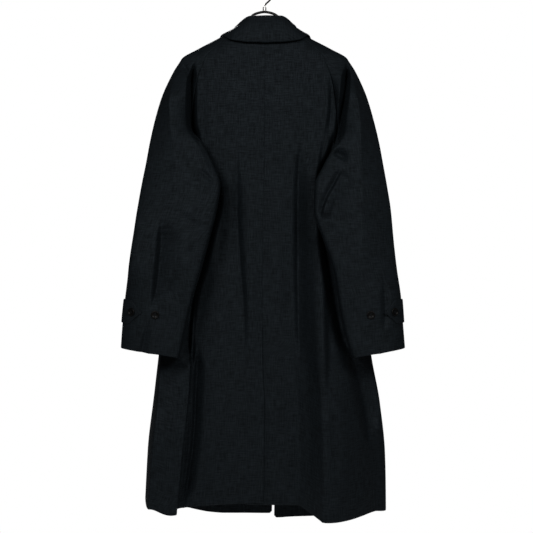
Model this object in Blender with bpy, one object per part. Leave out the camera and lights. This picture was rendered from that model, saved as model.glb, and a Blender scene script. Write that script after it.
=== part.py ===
"""A balmacaan coat hanging on a plain metal hanger. Metres, +Z up; the back of the coat faces -Y.

The origin is where a rail carries the hook. Heights on the coat are given as a drop below the collar's
top edge at the centre back. Left and right are the wearer's: left is -X.
"""

import math
from collections import namedtuple

import bmesh
import bpy
import numpy as np
from mathutils import Matrix, Vector

BACK, FRONT = -1, 1
LEFT, RIGHT = -1, 1

# Heights
COLLAR_TOP = -0.0858
NECK_DROP = 0.033
BACK_NECK_DIP = 0.007
FRONT_NECK_DIP = 0.062
NECK_ROWS_END = 0.25
SHOULDER_TIP_DROP = 0.0916
UNDERARM_DROP = 0.380
CUFF_DROP = 0.758
CUFF_TILT = 0.010
VENT_TOP_DROP = 0.743
HEM_SIDE_DROP = 1.127

# The hem at each panel's centre line, and how much lower it hangs at the panel's main fold
Hem = namedtuple("Hem", "centre_drop sag")
HEMS = {
    (BACK, LEFT): Hem(1.095, 0.004),
    (BACK, RIGHT): Hem(1.099, 0.025),
    (FRONT, LEFT): Hem(1.158, 0.0),
    (FRONT, RIGHT): Hem(1.168, 0.006),
}

# Cloth and seams
SEAM_GAP = 0.0003
CLOTH_WALL = 0.002
COLLAR_WALL = 0.003
TAB_WALL = 0.0025
LAP_DEPTH = 0.0038
VENT_LAP = 0.040
FRONT_LAP_TOP = 0.030
LEFT_LAP_HEM = 0.016
RIGHT_LAP_HEM = -0.022
CORNER_ROUND = 0.005
GIRTH = 1.2

# The body's plan at each height, and how far it swings to the right. A panel's outer seam is at an angle round
# from the panel's centre line: the raglan seam down to the underarm, and the side seam below it.
BodySection = namedtuple("BodySection", "drop half_width back_depth front_depth back_seam front_seam swing")
BODY = [
    BodySection(0.028, 0.078, 0.038, 0.038, 57, 57, 0),
    BodySection(0.045, 0.1105, 0.040, 0.039, 53, 53, 0),
    BodySection(0.066, 0.151, 0.043, 0.042, 47, 47, 0),
    BodySection(0.0916, 0.192, 0.045, 0.045, 45, 45, 0),
    BodySection(0.130, 0.199, 0.047, 0.050, 49, 49, 0),
    BodySection(0.190, 0.203, 0.048, 0.058, 53, 53, 0),
    BodySection(0.250, 0.203, 0.048, 0.064, 56, 57, 0),
    BodySection(0.320, 0.202, 0.048, 0.068, 64, 72, 0),
    BodySection(0.380, 0.202, 0.048, 0.070, 75, 105, 0),
    BodySection(0.450, 0.2075, 0.049, 0.073, 85, 95, 0),
    BodySection(0.550, 0.219, 0.052, 0.078, 90, 90, 0),
    BodySection(0.769, 0.2445, 0.062, 0.089, 90, 90, 0.001),
    BodySection(0.880, 0.261, 0.070, 0.096, 90, 90, 0.0045),
    BodySection(0.990, 0.273, 0.078, 0.104, 90, 90, 0.004),
    BodySection(1.170, 0.279, 0.088, 0.114, 90, 90, 0.001),
]

# Sleeve sections: how far the outer and inner edges are from the centre line, where the edges lie along Y, and
# the depth from them to the sleeve's back and to its far side, next to the body.
SleeveSection = namedtuple(
    "SleeveSection", "drop left_outer left_inner right_outer right_inner edge_y back_depth far_depth"
)
SLEEVES = [
    SleeveSection(0.0916, 0.192, 0.150, 0.192, 0.150, 0.000, 0.040, 0.040),
    SleeveSection(0.1205, 0.210, 0.160, 0.210, 0.160, -0.006, 0.042, 0.042),
    SleeveSection(0.177, 0.234, 0.168, 0.233, 0.168, -0.020, 0.044, 0.044),
    SleeveSection(0.234, 0.249, 0.165, 0.248, 0.172, -0.037, 0.043, 0.030),
    SleeveSection(0.288, 0.259, 0.140, 0.259, 0.159, -0.055, 0.040, 0.017),
    SleeveSection(0.340, 0.267, 0.114, 0.267, 0.132, -0.069, 0.038, 0.022),
    SleeveSection(0.386, 0.275, 0.098, 0.274, 0.112, -0.080, 0.038, 0.032),
    SleeveSection(0.4405, 0.283, 0.106, 0.282, 0.110, -0.085, 0.039, 0.037),
    SleeveSection(0.508, 0.292, 0.123, 0.288, 0.131, -0.087, 0.041, 0.041),
    SleeveSection(0.575, 0.301, 0.142, 0.295, 0.154, -0.087, 0.043, 0.043),
    SleeveSection(0.642, 0.310, 0.162, 0.304, 0.165, -0.087, 0.044, 0.044),
    SleeveSection(0.709, 0.3165, 0.1775, 0.309, 0.179, -0.086, 0.045, 0.045),
    SleeveSection(0.758, 0.320, 0.188, 0.313, 0.195, -0.085, 0.046, 0.046),
]
SLEEVE_CREASE = 1.2
UNDERARM_TURN = 0.29

# Folds of a panel. A fold is a ridge, or a trough where its height is negative: it grows between starts
# and full, dies between fades and ends, and its share of the panel's width drifts from top to bottom.
Fold = namedtuple(
    "Fold", "face side starts full fades ends share_top share_bottom height inner outer lean"
)
HEM_RUN = 2.0
FLANK_FOLDS = {
    (BACK, LEFT): Fold(BACK, LEFT, 0.42, 1.00, HEM_RUN, 3.0, 0.385, 0.590, 0.040, 0.016, 0.085, 0.044),
    (BACK, RIGHT): Fold(BACK, RIGHT, 0.42, 0.95, HEM_RUN, 3.0, 0.345, 0.305, 0.042, 0.024, 0.150, 0.008),
    (FRONT, LEFT): Fold(FRONT, LEFT, 0.45, 1.05, HEM_RUN, 3.0, 0.50, 0.46, 0.026, 0.045, 0.080, 0.010),
    (FRONT, RIGHT): Fold(FRONT, RIGHT, 0.50, 1.05, HEM_RUN, 3.0, 0.44, 0.52, 0.028, 0.040, 0.090, 0.012),
}
SOFT_FOLDS = [
    Fold(BACK, LEFT, 0.34, 0.46, 0.62, 0.86, 0.21, 0.10, -0.007, 0.020, 0.040, 0.0),
    Fold(BACK, RIGHT, 0.33, 0.60, HEM_RUN, 3.0, 0.25, 0.24, -0.010, 0.075, 0.035, 0.0),
    Fold(FRONT, LEFT, 0.40, 0.70, HEM_RUN, 3.0, 0.25, 0.24, -0.009, 0.050, 0.050, 0.0),
    Fold(FRONT, RIGHT, 0.35, 0.75, HEM_RUN, 3.0, 0.27, 0.29, -0.010, 0.045, 0.045, 0.0),
]

# The collar from the centre back, 0, to the centre front, 1: its fold line and its outer edge.
CollarSection = namedtuple("CollarSection", "around fold_x fold_y fold_drop edge_x edge_y edge_drop")
COLLAR = [
    CollarSection(0.00, 0.000, -0.039, -0.0015, 0.000, -0.057, 0.064),
    CollarSection(0.20, 0.036, -0.037, -0.001, 0.042, -0.055, 0.062),
    CollarSection(0.36, 0.059, -0.024, 0.011, 0.080, -0.043, 0.054),
    CollarSection(0.48, 0.068, -0.004, 0.0175, 0.103, -0.010, 0.0355),
    CollarSection(0.60, 0.063, 0.018, 0.021, 0.110, 0.038, 0.056),
    CollarSection(0.80, 0.042, 0.038, 0.045, 0.096, 0.061, 0.110),
    CollarSection(1.00, 0.003, 0.049, 0.075, 0.050, 0.067, 0.152),
]
COLLAR_ROLL = 0.0032
COLLAR_SHIFT = 0.003
COLLAR_BULGE = 0.004
BACK_NECK_SHARE = 0.42
SHOULDER_NECK_SHARE = 0.54

# Cuff tab and buttons
TAB_DROP = 0.673
TAB_WIDTH = 0.054
TAB_LENGTH = 0.062
TAB_TIP = 0.003
TAB_CLEARANCE = 0.0007
CUFF_BUTTON_ALONG = 0.040
SPARE_BUTTON_ALONG = 0.094
CUFF_BUTTON_RADIUS = 0.009
FRONT_BUTTON_RADIUS = 0.0115
FRONT_BUTTON_DROPS = (0.200, 0.360, 0.520, 0.680)
BUTTON_CLEARANCE = 0.0006

# Hanger
BAR_RADIUS = 0.003
HOOK_RADIUS = 0.002
HOOK_BOW_RADIUS = 0.021
HOOK_STEM_TOP = -0.054
FERRULE_TOP = -0.0565
FERRULE_RADIUS = 0.0045
BarPoint = namedtuple("BarPoint", "x drop")
BAR = [
    BarPoint(0.000, -0.0190),
    BarPoint(0.014, -0.0168),
    BarPoint(0.027, -0.0112),
    BarPoint(0.045, 0.0110),
    BarPoint(0.066, 0.0345),
    BarPoint(0.088, 0.0455),
    BarPoint(0.115, 0.0565),
    BarPoint(0.1475, 0.0708),
    BarPoint(0.184, 0.0935),
]

# How finely the cloth is divided
UPPER_ROWS = (
    0.033, 0.044, 0.057, 0.073, 0.0916, 0.112, 0.138, 0.170, 0.205, 0.245, 0.285, 0.320, 0.352, 0.380
)
LOWER_ROWS = (
    0.435, 0.490, 0.550, 0.610, 0.680, 0.7467, 0.7739, 0.840, 0.910, 0.980, 1.050, 1.100, 1.127
)
SLEEVE_LOWER_ROWS = 11
BACK_COLUMNS, FRONT_COLUMNS = 18, 14
BACK_HALF_COLUMNS, FRONT_HALF_COLUMNS = 12, 9
COLLAR_COLUMNS = 20
FOLD_FOOT, FOLD_LIP = 0.46, 0.62


def ramp(value, low, high):
    """0 below low and 1 above high, with a smooth rise between."""
    t = np.clip((value - low) / (high - low), 0.0, 1.0)
    return t * t * (3 - 2 * t)


def along(table, name, place):
    """A table's column as a smooth curve through its rows, which don't overshoot. The first column is the place."""
    rows = np.array(table, float)
    x, y = rows[:, 0], rows[:, table[0]._fields.index(name)]
    slope = np.diff(y) / np.diff(x)
    tangent = np.concatenate([slope[:1], np.zeros(len(x) - 2), slope[-1:]])
    for k in range(1, len(x) - 1):
        if slope[k - 1] * slope[k] > 0:
            tangent[k] = 2 * slope[k - 1] * slope[k] / (slope[k - 1] + slope[k])
    i = np.clip(np.searchsorted(x, place) - 1, 0, len(x) - 2)
    step = x[i + 1] - x[i]
    t = np.clip((place - x[i]) / step, 0.0, 1.0)
    start = (1 + 2 * t) * (1 - t) ** 2 * y[i] + t * (1 - t) ** 2 * step * tangent[i]
    return start + t * t * (3 - 2 * t) * y[i + 1] + t * t * (t - 1) * step * tangent[i + 1]


def centre_back(drop):
    """Where the centre back seam hangs."""
    return 0.001 - 0.006 * ramp(drop, 0.10, 0.70)


def fold_shift(fold, drop, share, width):
    """How far out of the panel a fold lifts each point, from 0 to 1 of its height."""
    strength = ramp(drop, fold.starts, fold.full) * (1 - ramp(drop, fold.fades, fold.ends))
    q = (share - fold_share(fold, drop)) * GIRTH * width
    return strength * np.where(q < 0, 1 - ramp(-q, 0, fold.inner), 1 - ramp(q, 0, fold.outer))


def fold_share(fold, drop):
    way = np.clip((drop - fold.starts) / (HEM_SIDE_DROP - fold.starts), 0, 1)
    return fold.share_top + (fold.share_bottom - fold.share_top) * way


def seam_angle(face, drop):
    back = np.radians(along(BODY, "back_seam", drop))
    if face == BACK:
        return back
    return np.where(drop < UNDERARM_DROP, np.radians(along(BODY, "front_seam", drop)), math.pi - back)


def body_point(face, side, drop, share):
    """A point on the cloth's outer side: share runs from the centre line, 0, to the panel's outer seam, 1."""
    width = along(BODY, "half_width", drop)
    angle = share * seam_angle(face, drop)
    on_back = (face == BACK) ^ (angle > math.pi / 2)
    depth = np.where(on_back, along(BODY, "back_depth", drop), along(BODY, "front_depth", drop))
    x, y = width * np.sin(angle), face * depth * np.cos(angle)
    out = np.stack([x / width**2, y / depth**2])
    out /= np.linalg.norm(out, axis=0)
    inward = np.stack([-width * np.cos(angle), face * depth * np.sin(angle)])
    inward /= np.linalg.norm(inward, axis=0)
    for fold in [*FLANK_FOLDS.values(), *SOFT_FOLDS]:
        if fold.face == face:
            reach = share if fold.side == side else -share
            lift = fold_shift(fold, drop, reach, width) * (reach > 0)
            x = x + lift * (fold.height * out[0] + fold.lean * inward[0])
            y = y + lift * (fold.height * out[1] + fold.lean * inward[1])
    if (face, side) == (BACK, RIGHT):
        below = ramp(drop, VENT_TOP_DROP - 0.06, VENT_TOP_DROP - 0.014)
        y = y + LAP_DEPTH * below * (1 - ramp(x, 0.001, 0.016))
    if (face, side) == (FRONT, RIGHT):
        y = y - LAP_DEPTH * (1 - ramp(x, FRONT_LAP_TOP + 0.004, FRONT_LAP_TOP + 0.024))
    x = side * x + along(BODY, "swing", drop)
    if face == BACK:
        x = x + centre_back(drop) * (1 - np.clip(share, 0, 1)) ** 2
    return np.stack([x, y, COLLAR_TOP - drop], axis=-1)


def first_share(face, side, drop):
    """Where a panel begins: at the centre seam, or past the centre line where it laps over its neighbour."""
    quarter = along(BODY, "half_width", drop) * seam_angle(face, drop)
    if (face, side) == (BACK, RIGHT):
        return -VENT_LAP / quarter * ramp(drop, VENT_TOP_DROP - 0.010, VENT_TOP_DROP + 0.030)
    if face == FRONT:
        hem = LEFT_LAP_HEM if side == LEFT else RIGHT_LAP_HEM
        return -(FRONT_LAP_TOP + (hem - FRONT_LAP_TOP) * ramp(drop, 0.45, 1.16)) / quarter
    return np.zeros_like(drop)


def hem_drop(face, side, share):
    """The hem tips down towards the front, and the front corners are rounded."""
    hem = HEMS[face, side]
    sag = hem.sag * fold_shift(FLANK_FOLDS[face, side], HEM_SIDE_DROP, share, BODY[-1].half_width)
    drop = HEM_SIDE_DROP + (hem.centre_drop - HEM_SIDE_DROP) * np.cos(share * math.pi / 2) ** 2 + sag
    if face == FRONT:
        from_edge = (share - share.min()) * GIRTH * BODY[-1].half_width
        drop = drop - CORNER_ROUND * (1 - ramp(from_edge, 0, CORNER_ROUND)) ** 2
    return drop


def neck_dip(face, share):
    """How far the neckline dips below the shoulder's neck point, most at the centre."""
    return (BACK_NECK_DIP if face == BACK else FRONT_NECK_DIP) * ramp(np.clip(1 - share, 0, 1) ** 0.75, 0, 1)


def panel_shares(face, side, drop, columns, centre_drop):
    """The shares of a row's points, drawn together at the panel's main fold."""
    fold = FLANK_FOLDS[face, side]
    width = along(BODY, "half_width", drop)
    lip = fold_share(fold, drop)
    foot = lip - fold.inner / (GIRTH * width)
    place = np.linspace(0, 1, columns)
    return np.interp(place, [0, FOLD_FOOT, FOLD_LIP, 1], [first_share(face, side, centre_drop), foot, lip, 1])


def panel_grid(face, side, columns):
    """The outer points of a body panel, a row for each height from neckline to hem."""
    rows = []
    for drop in UPPER_ROWS:
        left_of_dip = 1 - min(1, (drop - NECK_DROP) / (NECK_ROWS_END - NECK_DROP))
        share = panel_shares(face, side, drop, columns, drop + left_of_dip * neck_dip(face, 0.0))
        rows.append(body_point(face, side, drop + left_of_dip * neck_dip(face, share), share))
    for drop in LOWER_ROWS:
        part = (drop - UNDERARM_DROP) / (HEM_SIDE_DROP - UNDERARM_DROP)
        centre_drop = UNDERARM_DROP + part * (HEMS[face, side].centre_drop - UNDERARM_DROP)
        share = panel_shares(face, side, drop, columns, centre_drop)
        rows.append(
            body_point(face, side, UNDERARM_DROP + part * (hem_drop(face, side, share) - UNDERARM_DROP), share)
        )
    return np.array(rows)


def sleeve_edges(side, drop):
    name = "left" if side == LEFT else "right"
    return along(SLEEVES, name + "_outer", drop), along(SLEEVES, name + "_inner", drop)


def shoulder_point(side, drop, turn):
    """The sleeve over the shoulder: turn runs from the back raglan seam, 0, over the top to the front one, 1."""
    width = along(BODY, "half_width", drop)
    seam = seam_angle(BACK, drop)
    angle = seam + (math.pi - seam - seam_angle(FRONT, drop)) * turn
    depth = np.where(angle < math.pi / 2, along(BODY, "back_depth", drop), along(BODY, "front_depth", drop))
    outer = width if drop <= SHOULDER_TIP_DROP else sleeve_edges(side, drop)[0]
    x = width * np.sin(angle)
    x = x + (outer - width) * np.sin(math.pi * turn) ** 2
    return np.stack([side * x, -depth * np.cos(angle)], axis=-1)


def tube_point(side, drop, turn):
    """The sleeve as a creased tube: turn runs from the underarm seam, 0, round the back to the outer edge, 0.5.

    The seam follows the inner edge, except near the underarm, where it lies on the side next to the body.
    """
    outer, inner = sleeve_edges(side, drop)
    behind = UNDERARM_TURN * ramp(drop, 0.22, 0.36) * (1 - ramp(drop, 0.40, 0.72))
    place = np.where(turn < 0.5, turn - behind * (1 - 2 * turn), turn - behind * (2 * turn - 1))
    c, s = np.cos(2 * math.pi * place), np.sin(2 * math.pi * place)
    x = (outer + inner) / 2 - (outer - inner) / 2 * np.sign(c) * abs(c) ** SLEEVE_CREASE
    depth = np.where(s > 0, along(SLEEVES, "back_depth", drop), along(SLEEVES, "far_depth", drop))
    y = along(SLEEVES, "edge_y", drop) - depth * s
    return np.stack([side * x, y], axis=-1)


def sleeve_point(side, drop, turn):
    """A point on a sleeve's outer side, in a level row: a cap at the shoulder that becomes a tube below it."""
    cap = shoulder_point(side, min(drop, UNDERARM_DROP), turn)
    tube = tube_point(side, drop, turn)
    ends = shoulder_point(side, min(drop, UNDERARM_DROP), np.array([0.0, 1.0]))
    bare = tube_point(side, drop, np.array([0.0, 1.0]))
    left_of_underarm = 1 - np.clip((drop - UNDERARM_DROP) / 0.12, 0, 1) ** 0.6
    lower = ramp(drop, 0.12, 0.30)
    for k, (near, shortest) in enumerate(((turn, 0.06), (1 - turn, 0.14))):
        sideways = 1 - ramp(near, 0, 0.45 - 0.32 * lower)
        forwards = 1 - ramp(near, 0, 0.45 + (shortest - 0.45) * lower)
        pull = left_of_underarm * np.stack([sideways, forwards], axis=-1)
        tube = tube + (ends[k] - bare[k]) * pull
    flat = cap + (tube - cap) * ramp(drop, SHOULDER_TIP_DROP, 0.19)
    tilt = CUFF_TILT * ramp(drop, 0.45, CUFF_DROP) * np.cos(2 * math.pi * turn)
    return np.concatenate([flat, (COLLAR_TOP - drop - tilt)[:, None]], axis=1)


def sleeve_grid(side):
    lower = np.linspace(UNDERARM_DROP, CUFF_DROP, SLEEVE_LOWER_ROWS + 1)[1:]
    turns = np.concatenate(
        [np.linspace(0, 0.5, BACK_HALF_COLUMNS), np.linspace(0.5, 1, FRONT_HALF_COLUMNS)[1:]]
    )
    return np.array([sleeve_point(side, drop, turns) for drop in [*UPPER_ROWS, *lower]])


def unit(vectors):
    return vectors / np.maximum(np.linalg.norm(vectors, axis=-1, keepdims=True), 1e-12)


def normals_of(grid, outward):
    """Each point's normal, on the side that the outward sign asks for."""
    return unit(outward * np.cross(np.gradient(grid, axis=1), np.gradient(grid, axis=0)))


def share_normals(a, b, into_a=None, into_b=None):
    """Where two panels meet, their edges get one normal, so that their walls lie side by side.

    Where they meet in a deep valley, seen from outside, their walls part by themselves and keep their own normals.
    """
    total = unit(a + b)
    shared = np.ones(a.shape[:-1])
    if into_a is not None:
        valley = ((unit(into_a) + unit(into_b)) * total).sum(axis=-1) > 0
        shared = np.where(valley, ramp((a * b).sum(axis=-1), 0.2, 0.8), 1.0)
    for normals in (a, b):
        normals[:] = unit(normals + shared[:, None] * (total - normals))


def drawn_in(grid):
    """The grid with each edge drawn back by half the gap between pieces."""
    grid = grid.copy()
    for axis in (0, 1):
        for edge, inner in ((0, 1), (-1, -2)):
            rim, next_in = np.take(grid, edge, axis), np.take(grid, inner, axis)
            rim = rim + unit(next_in - rim) * SEAM_GAP * 0.6
            if axis == 0:
                grid[edge] = rim
            else:
                grid[:, edge] = rim
    return grid


def material(name, colour, roughness, metallic=0.0):
    made = bpy.data.materials.new(name)
    made.use_nodes = True
    shader = made.node_tree.nodes["Principled BSDF"]
    shader.inputs["Base Color"].default_value = (*colour, 1.0)
    shader.inputs["Roughness"].default_value = roughness
    shader.inputs["Metallic"].default_value = metallic
    return made


def add_object(name, mesh, finish):
    obj = bpy.data.objects.new(name, mesh)
    bpy.context.scene.collection.objects.link(obj)
    obj.data.materials.append(finish)
    return obj


def add_wall(name, outer, inner, finish):
    """A closed wall of cloth between two grids of points."""
    rows, columns = outer.shape[:2]
    points = np.concatenate([outer.reshape(-1, 3), inner.reshape(-1, 3)])
    back = rows * columns
    faces = []
    for i in range(rows - 1):
        for j in range(columns - 1):
            a, b = i * columns + j, i * columns + j + 1
            c, d = b + columns, a + columns
            faces += [(a, b, c, d), (back + d, back + c, back + b, back + a)]
    rim = [*range(columns), *range(2 * columns - 1, back, columns)]
    rim += [*range(back - 2, back - columns - 1, -1), *range(back - 2 * columns, 0, -columns)]
    for a, b in zip(rim, rim[1:] + rim[:1]):
        faces += [(b, a, back + max(a, b)), (min(a, b), back + a, back + b)]
    mesh = bpy.data.meshes.new(name)
    mesh.from_pydata(points.tolist(), [], faces)
    shape = bmesh.new()
    shape.from_mesh(mesh)
    bmesh.ops.recalc_face_normals(shape, faces=shape.faces)
    shape.to_mesh(mesh)
    shape.free()
    mesh.shade_smooth()
    mesh.set_sharp_from_angle(angle=math.radians(50))
    return add_object(name, mesh, finish)


def add_cloth(name, grid, normals, finish):
    outer = drawn_in(grid)
    return add_wall(name, outer, outer - CLOTH_WALL * normals, finish)


def build_cloth(cloth):
    """The body panels and the sleeves, with shared normals along the seams between them."""
    seam_rows = len(UPPER_ROWS)
    vent_row = seam_rows + sum(drop < VENT_TOP_DROP - 0.03 for drop in LOWER_ROWS)
    panels, sleeves = {}, {}
    for side in (LEFT, RIGHT):
        for face, columns in ((BACK, BACK_COLUMNS), (FRONT, FRONT_COLUMNS)):
            grid = panel_grid(face, side, columns)
            panels[face, side] = grid, normals_of(grid, face * side)
        grid = sleeve_grid(side)
        sleeves[side] = grid, normals_of(grid, -side)
    for side in (LEFT, RIGHT):
        (back_grid, back), (front_grid, front) = panels[BACK, side], panels[FRONT, side]
        sleeve_points, sleeve = sleeves[side]
        armhole, below = slice(0, seam_rows - 1), slice(seam_rows - 1, None)
        into_sleeve = sleeve_points[armhole, 1] - sleeve_points[armhole, 0]
        into_back = back_grid[armhole, -2] - back_grid[armhole, -1]
        share_normals(back[armhole, -1], sleeve[armhole, 0], into_back, into_sleeve)
        into_sleeve = sleeve_points[armhole, -2] - sleeve_points[armhole, -1]
        into_front = front_grid[armhole, -2] - front_grid[armhole, -1]
        share_normals(front[armhole, -1], sleeve[armhole, -1], into_front, into_sleeve)
        share_normals(back[below, -1], front[below, -1])
        share_normals(sleeve[below, 0], sleeve[below, -1])
    share_normals(panels[BACK, LEFT][1][:vent_row, 0], panels[BACK, RIGHT][1][:vent_row, 0])
    side_names = {LEFT: "left", RIGHT: "right"}
    for (face, side), (grid, normals) in panels.items():
        add_cloth(("back_" if face == BACK else "front_") + side_names[side], grid, normals, cloth)
    for side, (grid, normals) in sleeves.items():
        back_half, front_half = slice(0, BACK_HALF_COLUMNS), slice(BACK_HALF_COLUMNS - 1, None)
        add_cloth(f"sleeve_{side_names[side]}_back", grid[:, back_half], normals[:, back_half], cloth)
        add_cloth(f"sleeve_{side_names[side]}_front", grid[:, front_half], normals[:, front_half], cloth)


def neck_point(side, around):
    """A point of the neckline that the collar stands on, from the centre back, 0, to the centre front, 1."""
    if around < BACK_NECK_SHARE:
        share = np.array([around / BACK_NECK_SHARE])
        return body_point(BACK, side, NECK_DROP + neck_dip(BACK, share), share)[0]
    if around > SHOULDER_NECK_SHARE:
        share = np.array([(1 - around) / (1 - SHOULDER_NECK_SHARE)])
        return body_point(FRONT, LEFT, NECK_DROP + neck_dip(FRONT, share), share)[0] * [-side, 1, 1]
    turn = np.array([(around - BACK_NECK_SHARE) / (SHOULDER_NECK_SHARE - BACK_NECK_SHARE)])
    return sleeve_point(side, NECK_DROP, turn)[0]


def collar_section(side, around):
    """The collar's middle line there: up the stand, over the roll and down the fall."""
    fold, edge = (
        np.array(
            [
                side * along(COLLAR, part + "_x", around) + COLLAR_SHIFT * (1 - around),
                along(COLLAR, part + "_y", around),
                COLLAR_TOP - along(COLLAR, part + "_drop", around) - (COLLAR_WALL / 2 if part == "fold" else 0),
            ]
        )
        for part in ("fold", "edge")
    )
    neck = neck_point(side, around) + [0, 0, COLLAR_WALL]
    out = (edge - fold) * [1, 1, 0]
    out = out / np.linalg.norm(out) * COLLAR_ROLL
    below = np.array([0, 0, -1.3 * COLLAR_ROLL])
    stand_top, fall_top = fold - out + below, fold + out + below
    drop = fall_top[2] - edge[2]
    away = out / COLLAR_ROLL * drop + [0, 0, np.linalg.norm((edge - fall_top)[:2])]
    away = away / np.linalg.norm(away) * 4 * COLLAR_BULGE
    fall = [fall_top + (edge - fall_top) * t + away * t * (1 - t) for t in (0.3, 0.65, 1.0)]
    stand = [neck + (stand_top - neck) * t for t in (0.2, 0.6, 1.0)]
    return [*stand, fold - 0.75 * out + 0.3 * below, fold, fold + 0.75 * out + 0.3 * below, fall_top, *fall]


def build_collar(cloth):
    arounds = np.linspace(0, 1, COLLAR_COLUMNS)
    left = [collar_section(LEFT, around) for around in arounds[::-1]]
    right = [collar_section(RIGHT, around) for around in arounds[1:]]
    grid = drawn_in(np.array(left + right))
    normals = normals_of(grid, 1)
    half = COLLAR_WALL / 2
    add_wall("collar", grid + half * normals, grid - half * normals, cloth)


def cuff_surface(side, drop, distance):
    """Point and normal on the back half of a sleeve, a given way along its surface from the overarm seam."""
    turns = np.linspace(0.5, 0.0, 200)
    ring = sleeve_point(side, drop, turns)
    way = np.concatenate([[0], np.cumsum(np.linalg.norm(np.diff(ring, axis=0), axis=1))])
    turn = np.interp(distance, way, turns)
    step = 0.002
    beside = sleeve_point(side, drop, np.array([turn - step, turn, turn + step]))
    below = sleeve_point(side, drop + step, np.array([turn]))[0]
    normal = np.cross(below - beside[1], beside[2] - beside[0]) * side
    return beside[1], normal / np.linalg.norm(normal)


def build_cuff_tab(side, name, cloth):
    """A pointed strap that starts in the overarm seam and lies on the sleeve."""
    rows, columns = 7, 11
    outer, inner = np.zeros((rows, columns, 3)), np.zeros((rows, columns, 3))
    for j, distance in enumerate(np.linspace(0.0015, TAB_LENGTH, columns)):
        half = max(TAB_TIP, min(TAB_WIDTH / 2, TAB_LENGTH - distance))
        for i, across in enumerate(np.linspace(-half, half, rows)):
            point, normal = cuff_surface(side, TAB_DROP + across, distance)
            inner[i, j] = point + TAB_CLEARANCE * normal
            outer[i, j] = inner[i, j] + TAB_WALL * normal
    add_wall(name, outer, inner, cloth)


def add_button(name, radius, point, normal, horn):
    """A turned button with a raised rim round a dished middle, its back towards the cloth."""
    thick = 0.0032
    profile = [
        (0.0, 0.62 * thick), (0.55 * radius, 0.62 * thick), (0.70 * radius, thick), (0.90 * radius, thick),
        (radius, 0.7 * thick), (0.96 * radius, 0.25 * thick), (0.6 * radius, 0.0), (0.0, 0.0),
    ]
    mesh = bpy.data.meshes.new(name)
    shape = bmesh.new()
    points = [shape.verts.new((r, 0, z)) for r, z in profile]
    edges = [shape.edges.new(pair) for pair in zip(points, points[1:])]
    bmesh.ops.spin(
        shape, geom=points + edges, axis=(0, 0, 1), cent=(0, 0, 0), angle=math.tau, steps=18, use_merge=True
    )
    bmesh.ops.remove_doubles(shape, verts=shape.verts, dist=1e-6)
    bmesh.ops.recalc_face_normals(shape, faces=shape.faces)
    shape.to_mesh(mesh)
    shape.free()
    mesh.shade_smooth()
    mesh.set_sharp_from_angle(angle=math.radians(40))
    obj = add_object(name, mesh, horn)
    turn = Vector(normal).to_track_quat("Z", "Y").to_matrix().to_4x4()
    obj.matrix_world = Matrix.Translation(Vector(point + BUTTON_CLEARANCE * normal)) @ turn
    return obj


def build_buttons(horn):
    for side, name in ((LEFT, "left"), (RIGHT, "right")):
        point, normal = cuff_surface(side, TAB_DROP, CUFF_BUTTON_ALONG)
        point = point + (TAB_CLEARANCE + TAB_WALL) * normal
        add_button(f"cuff_button_{name}", CUFF_BUTTON_RADIUS, point, normal, horn)
        point, normal = cuff_surface(side, TAB_DROP, SPARE_BUTTON_ALONG)
        add_button(f"cuff_spare_button_{name}", CUFF_BUTTON_RADIUS, point, normal, horn)
    for k, drop in enumerate(FRONT_BUTTON_DROPS, 1):
        near = body_point(FRONT, LEFT, np.array([drop, drop + 0.01, drop]), np.array([0.0, 0.0, 0.02]))
        normal = np.cross(near[2] - near[0], near[0] - near[1])
        normal /= np.linalg.norm(normal)
        add_button(f"front_button_{k}", FRONT_BUTTON_RADIUS, near[0], normal, horn)


def add_wire(name, points, radius, finish):
    """A round wire along the points, with flat ends."""
    curve = bpy.data.curves.new(name, "CURVE")
    curve.dimensions = "3D"
    curve.bevel_depth = radius
    curve.bevel_resolution = 2
    curve.use_fill_caps = True
    line = curve.splines.new("POLY")
    line.points.add(len(points) - 1)
    for place, point in zip(line.points, points):
        place.co = (*point, 1.0)
    return add_object(name, curve, finish)


def build_hanger(metal):
    """A bent bar under the shoulders, and a hook on a ferrule at its middle."""
    reach = BAR[-1].x
    places = np.linspace(-reach, reach, 37)
    heights = COLLAR_TOP - along([BarPoint(-p.x, p.drop) for p in BAR[:0:-1]] + BAR, "drop", places)
    add_wire("hanger_bar", [(x, 0.0, z) for x, z in zip(places, heights)], BAR_RADIUS, metal)

    bar_top = COLLAR_TOP - BAR[0].drop + BAR_RADIUS
    mesh = bpy.data.meshes.new("hanger_ferrule")
    shape = bmesh.new()
    foot = bar_top + SEAM_GAP
    bmesh.ops.create_cone(
        shape, cap_ends=True, segments=16, radius1=FERRULE_RADIUS, radius2=0.8 * FERRULE_RADIUS,
        depth=FERRULE_TOP - foot, matrix=Matrix.Translation((0, 0, (FERRULE_TOP + foot) / 2)),
    )
    shape.to_mesh(mesh)
    shape.free()
    add_object("hanger_ferrule", mesh, metal)

    bow_centre = HOOK_RADIUS - HOOK_BOW_RADIUS
    stem = [(0, 0, z) for z in np.linspace(FERRULE_TOP + SEAM_GAP, HOOK_STEM_TOP, 4)]
    neck = [(0.004, 0, HOOK_STEM_TOP + 0.0065), (0.0115, 0, HOOK_STEM_TOP + 0.0135)]
    bow = [
        (HOOK_BOW_RADIUS * math.cos(a), 0, bow_centre + HOOK_BOW_RADIUS * math.sin(a))
        for a in np.radians(np.linspace(-35, 200, 25))
    ]
    add_wire("hanger_hook", stem + neck + bow, HOOK_RADIUS, metal)


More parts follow.
